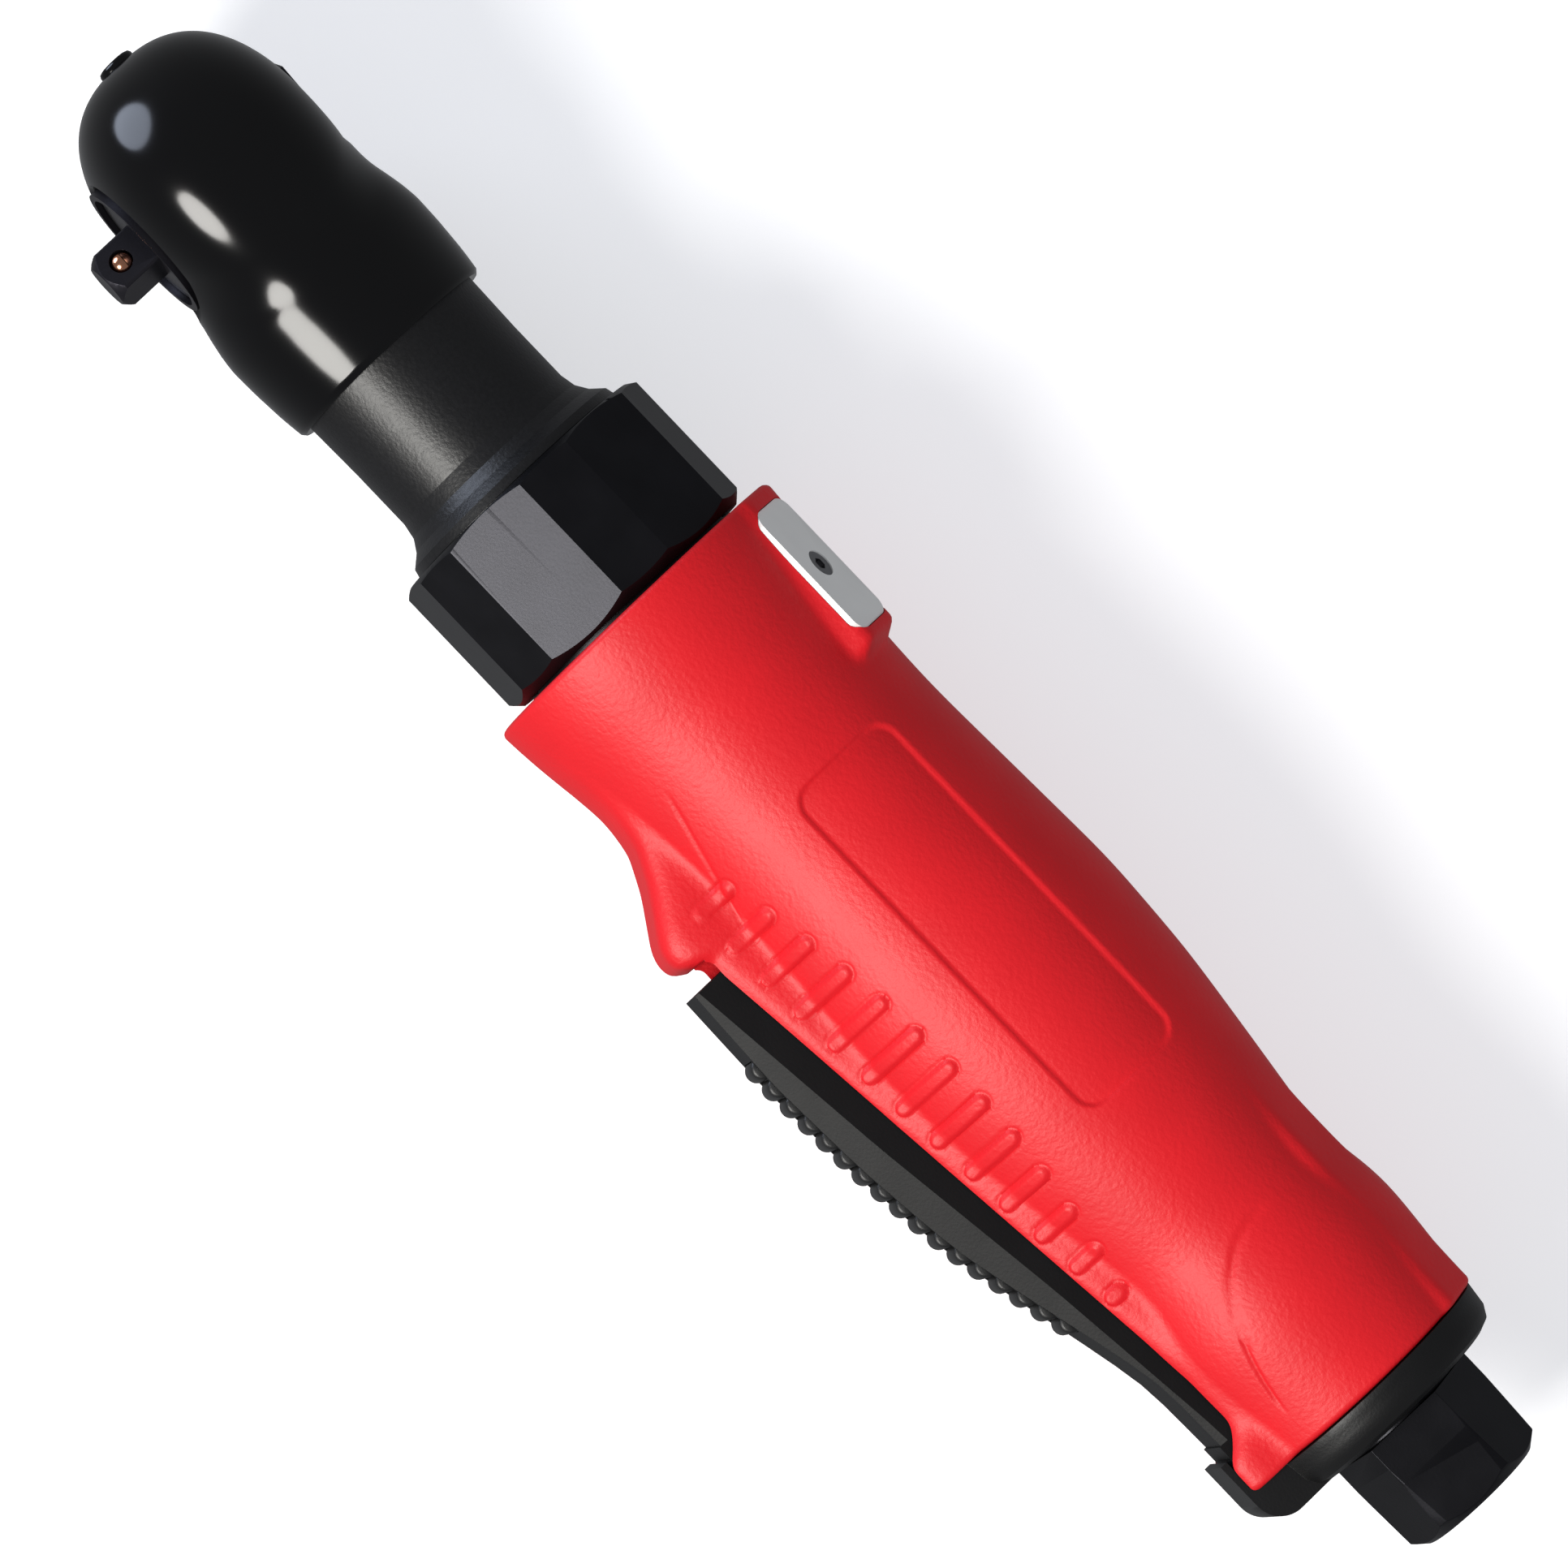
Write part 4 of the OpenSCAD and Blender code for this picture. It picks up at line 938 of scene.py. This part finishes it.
@dataclass(frozen=True)
class LeverPad:
    """The scalloped rubber pad: a base strip along the lever and one rounded rib per pitch.

    Distances along the pad count from the lever's pin.
    """

    pin_x: float = 24.5
    start: float = 26.0
    end: float = 79.0
    half_w: float = 4.6
    depth: float = 2.2
    ribs: int = 17
    rib_gap: float = 0.04
    rib_sink: float = 0.6
    base_sink: float = 0.5
    base_stations: int = 60
    # height of the pad's face at distances from the pin
    face: Stations = ((26, 23.1), (34, 25), (42, 26.8), (48, 27.7), (60, 28.9), (75, 29.6), (89.8, 29.2))
    # rounded ends of a rib: how far in from its end, and how much thinner there
    rib_ends: Stations = ((0.2, 0.45), (0.35, 0.15), (0.65, 0.0))

    def rib(self) -> bpy.types.Object:
        """One rib across the pad, about the origin.

        Returns:
            The object.
        """
        radius = (self.end - self.start) / self.ribs / 2 - self.rib_gap
        arc = np.linspace(0, 2 * math.pi, 40, endpoint=False)
        ends = [(back - self.half_w, inset) for back, inset in self.rib_ends]
        ends += [(self.half_w - back, inset) for back, inset in self.rib_ends[::-1]]
        rings = [np.array([((radius - inset) * math.cos(t), (radius - inset) * math.sin(t), z) for t in arc])
                 for z, inset in ends]
        rib = loft("rib", rings, Look.BLACK_RUBBER)
        sharpen(rib, 60)
        return rib

    def build(self) -> tuple[bpy.types.Object, bpy.types.Object]:
        """Sets the ribs along the lever, and makes the strip under them.

        Returns:
            The ribs as one object, and the strip.
        """
        pitch = (self.end - self.start) / self.ribs
        places = [self.start + (k + 0.5) * pitch for k in range(self.ribs)]
        faces = np.interp(places, *np.array(self.face).T)
        points = tuple((self.pin_x + d, y - self.rib_sink, 0.0) for d, y in zip(places, faces))
        ribs = Repeat("pad_ribs", points, Look.BLACK_RUBBER).build(self.rib())
        along = np.linspace(self.start, self.end, self.base_stations)
        rings = []
        for d, y in zip(along, np.interp(along, *np.array(self.face).T)):
            x, low, high = self.pin_x + d, y - self.depth, y - self.base_sink
            rings.append(np.array([(x, low, -self.half_w), (x, high, -self.half_w), (x, high, self.half_w),
                                   (x, low, self.half_w)]))
        strip = loft("pad_base", rings, Look.BLACK_RUBBER)
        sharpen(strip)
        return ribs, strip

    def dress(self, pad: bpy.types.Object, strip: bpy.types.Object) -> None:
        """Ties ribs and strip to the lever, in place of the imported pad."""
        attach(strip, "lever")
        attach(pad, "lever")
        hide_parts("lever_pad")


@dataclass(frozen=True)
class PackedPieces:
    """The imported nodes: their finishes, and narrow rounds on the edges of the outer ones."""

    looks: tuple[tuple[Look, tuple[str, ...]], ...] = (
        (Look.BLACK_OXIDE, ("inlet_bushing", "clamp_nut")),
        (Look.PAINTED_IRON, ("ratchet_housing",)),
        (Look.MATTE_NYLON, ("end_cap",)),
        (Look.BLACK_STEEL, ("throttle_lever",)),
        (Look.BLACK_RUBBER, ("lever_pad",)),
        (Look.SATIN_ZINC, ("side_plate",)),
        (Look.PLAIN_STEEL, ("plate_screw", "lever_pin", "liner_pin", "inlet_screen")),
        (Look.GROUND_STEEL, ("throttle_plunger", "rear_end_plate", "front_end_plate", "motor_liner", "rotor",
                             "planet_pins", "crankshaft", "pawl", "pawl_pin", "pawl_plunger",
                             "ratchet_yoke")),
        (Look.BEARING_STEEL, ("bearing_inner_rings", "bearing_outer_rings", "bearing_balls",
                              "crank_bearings")),
        (Look.SPRING_STEEL, ("throttle_spring", "detent_spring", "pawl_plunger_spring",
                             "nut_retaining_ring", "snap_ring")),
        (Look.GEAR_STEEL, ("ring_gear", "planet_gear_1", "planet_gear_2", "planet_gear_3")),
        (Look.DRIVE_STEEL, ("drive_anvil", "reverse_knob")),
        (Look.DARK_STEEL, ("drive_plate",)),
        (Look.COPPER, ("detent_ball",)),
        (Look.OILED_BRONZE, ("drive_bushing",)),
        (Look.ANODISED_ALUMINIUM, ("motor_housing",)),
        (Look.BROWN_PHENOLIC, ("rotor_vanes",)),
        (Look.GREY_FELT, ("exhaust_silencer",)),
        (Look.NITRILE, ("housing_seals", "plunger_seals")),
        (Look.RED_ELASTOMER, ("grip_sleeve",)),
        (Look.GLOSS_VINYL, ("head_boot",)),
    )
    rounds: tuple[tuple[str, float], ...] = (
        ("throttle_lever", 0.3), ("side_plate", 0.3), ("clamp_nut", 0.3), ("end_cap", 0.4),
        ("inlet_bushing", 0.25), ("drive_anvil", 0.25),
    )

    def dress(self) -> int:
        """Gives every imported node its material, and rounds the outer ones' edges.

        Returns:
            How many nodes were dressed.
        """
        count = 0
        for look, names in self.looks:
            for name in names:
                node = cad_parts[name]
                node.data.materials.clear()
                node.data.materials.append(material(look))
                count += 1
        for name, width in self.rounds:
            round_edges(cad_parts[name], width)
        return count


# ---- scene ------------------------------------------------------------------------------------

@dataclass(frozen=True)
class Softbox:
    """One area light: its place right of, above and in front of the target as seen, its size and power."""

    name: str
    place: Vec3
    size: float
    watts: float
    colour: str = "#ffffff"
    reflected: bool = True


@dataclass(frozen=True)
class Studio:
    """Camera, soft lights and pale floor. Lengths here are in metres."""

    target: Vec3 = (0.1259, 0.0016, 0.0)
    tool_angle: float = 46.35
    distance: float = 1.13
    lens: float = 205.0
    sensor: float = 36.0
    clip_start: float = 0.01
    softboxes: tuple[Softbox, ...] = (
        Softbox("key", (-0.55, -0.5, 0.75), 0.5, 13.0, "#fffdf8"),
        Softbox("rim", (-0.85, 0.45, 0.15), 0.6, 6.0, "#dfeaff"),
        Softbox("fill", (0.7, 0.1, 0.7), 0.7, 3.0, "#f6f9ff", reflected=False),
    )
    sky_colour: str = "#f4f6fa"
    sky_strength: float = 0.24
    floor_half: float = 3.0
    floor_drop: float = 0.0005
    floor_colour: str = "#f2f2f3"
    floor_roughness: float = 0.8
    floor_glow_colour: str = "#f4f4f6"
    floor_glow: float = 0.45

    def axes(self) -> tuple[Vector, Vector, Vector]:
        """The camera's directions in the frame.

        Returns:
            Right, up and towards the viewer.
        """
        angle = math.radians(self.tool_angle)
        toward = Vector((0.0, math.sin(CAMERA_ROLL), math.cos(CAMERA_ROLL)))
        down = Vector((0.0, math.cos(CAMERA_ROLL), -math.sin(CAMERA_ROLL)))
        back = Vector((-1.0, 0.0, 0.0))
        right = back * math.cos(angle) - down * math.sin(angle)
        up = -(back * math.sin(angle) + down * math.cos(angle))
        return right, up, toward

    def facing(self, position: Vector, up: Vector) -> Matrix:
        """Where a camera or light stands, turned to look at the target.

        Args:
            position: its place.
            up: which way is up in its view.
        Returns:
            The world matrix.
        """
        back = (position - Vector(self.target)).normalized()
        side = up.cross(back).normalized()
        turn = Matrix((side, back.cross(side), back)).transposed()
        return Matrix.Translation(position) @ turn.to_4x4()

    def add_floor(self) -> None:
        """A plain pale floor under the tool, which reflections and bounced light don't see."""
        low = Vector(CAD_BOX[0])
        half, z = self.floor_half, low.z - self.floor_drop
        mesh = bpy.data.meshes.new("floor")
        mesh.from_pydata([(-half, -half, z), (half, -half, z), (half, half, z), (-half, half, z)], [],
                         [(0, 1, 2, 3)])
        floor = bpy.data.objects.new("floor", mesh)
        # matt pale paint with a little light of its own, so that it stays nearly white under the tool
        paint = bpy.data.materials.new("pale_floor")
        paint.use_nodes = True
        sockets = paint.node_tree.nodes["Principled BSDF"].inputs
        sockets["Base Color"].default_value = linear(self.floor_colour)
        sockets["Roughness"].default_value = self.floor_roughness
        sockets["Emission Color"].default_value = linear(self.floor_glow_colour)
        sockets["Emission Strength"].default_value = self.floor_glow
        mesh.materials.append(paint)
        floor.visible_glossy = floor.visible_diffuse = False
        bpy.context.scene.collection.objects.link(floor)

    def add_lights(self) -> None:
        """Soft studio lights and a pale world."""
        right, up, toward = self.axes()
        for box in self.softboxes:
            data = bpy.data.lights.new(box.name, "AREA")
            data.shape, data.size, data.energy = "DISK", box.size, box.watts
            data.color = linear(box.colour)[:3]
            lamp = bpy.data.objects.new(box.name, data)
            u, v, w = box.place
            lamp.matrix_world = self.facing(Vector(self.target) + right * u + up * v + toward * w, up)
            lamp.visible_glossy = box.reflected
            bpy.context.scene.collection.objects.link(lamp)
        bpy.context.scene.view_settings.view_transform = "Standard"
        world = bpy.data.worlds.new("studio")
        world.use_nodes = True
        sky = world.node_tree.nodes["Background"].inputs
        sky["Color"].default_value = linear(self.sky_colour)
        sky["Strength"].default_value = self.sky_strength
        bpy.context.scene.world = world

    def add_camera(self) -> None:
        """The camera, at the viewing angle that the studio sets."""
        _, up, toward = self.axes()
        data = bpy.data.cameras.new("camera")
        data.lens, data.sensor_width, data.clip_start = self.lens, self.sensor, self.clip_start
        camera = bpy.data.objects.new("camera", data)
        camera.matrix_world = self.facing(Vector(self.target) + toward * self.distance, up)
        bpy.context.scene.collection.objects.link(camera)
        bpy.context.scene.camera = camera

    def build(self) -> None:
        """Adds the floor, the lights and the camera."""
        self.add_floor()
        self.add_lights()
        self.add_camera()


def report(piece: bpy.types.Object) -> None:
    """Logs a finished piece."""
    log.info("%s: %d faces", piece.name, len(piece.data.polygons))


def main() -> None:
    """Builds the pieces in order, then the studio."""
    logging.basicConfig(level=logging.INFO)
    log.info("%d packed pieces dressed", PackedPieces().dress())
    grip_maker = Grip()
    grip = grip_maker.build()
    grip_maker.dress(grip)
    report(grip)
    cover_maker = HeadCover()
    cover = cover_maker.build()
    cover_maker.dress(cover)
    report(cover)
    pad_maker = LeverPad()
    pad, strip = pad_maker.build()
    pad_maker.dress(pad, strip)
    report(pad)
    report(strip)
    Studio().build()


if __name__ == "__main__":
    main()
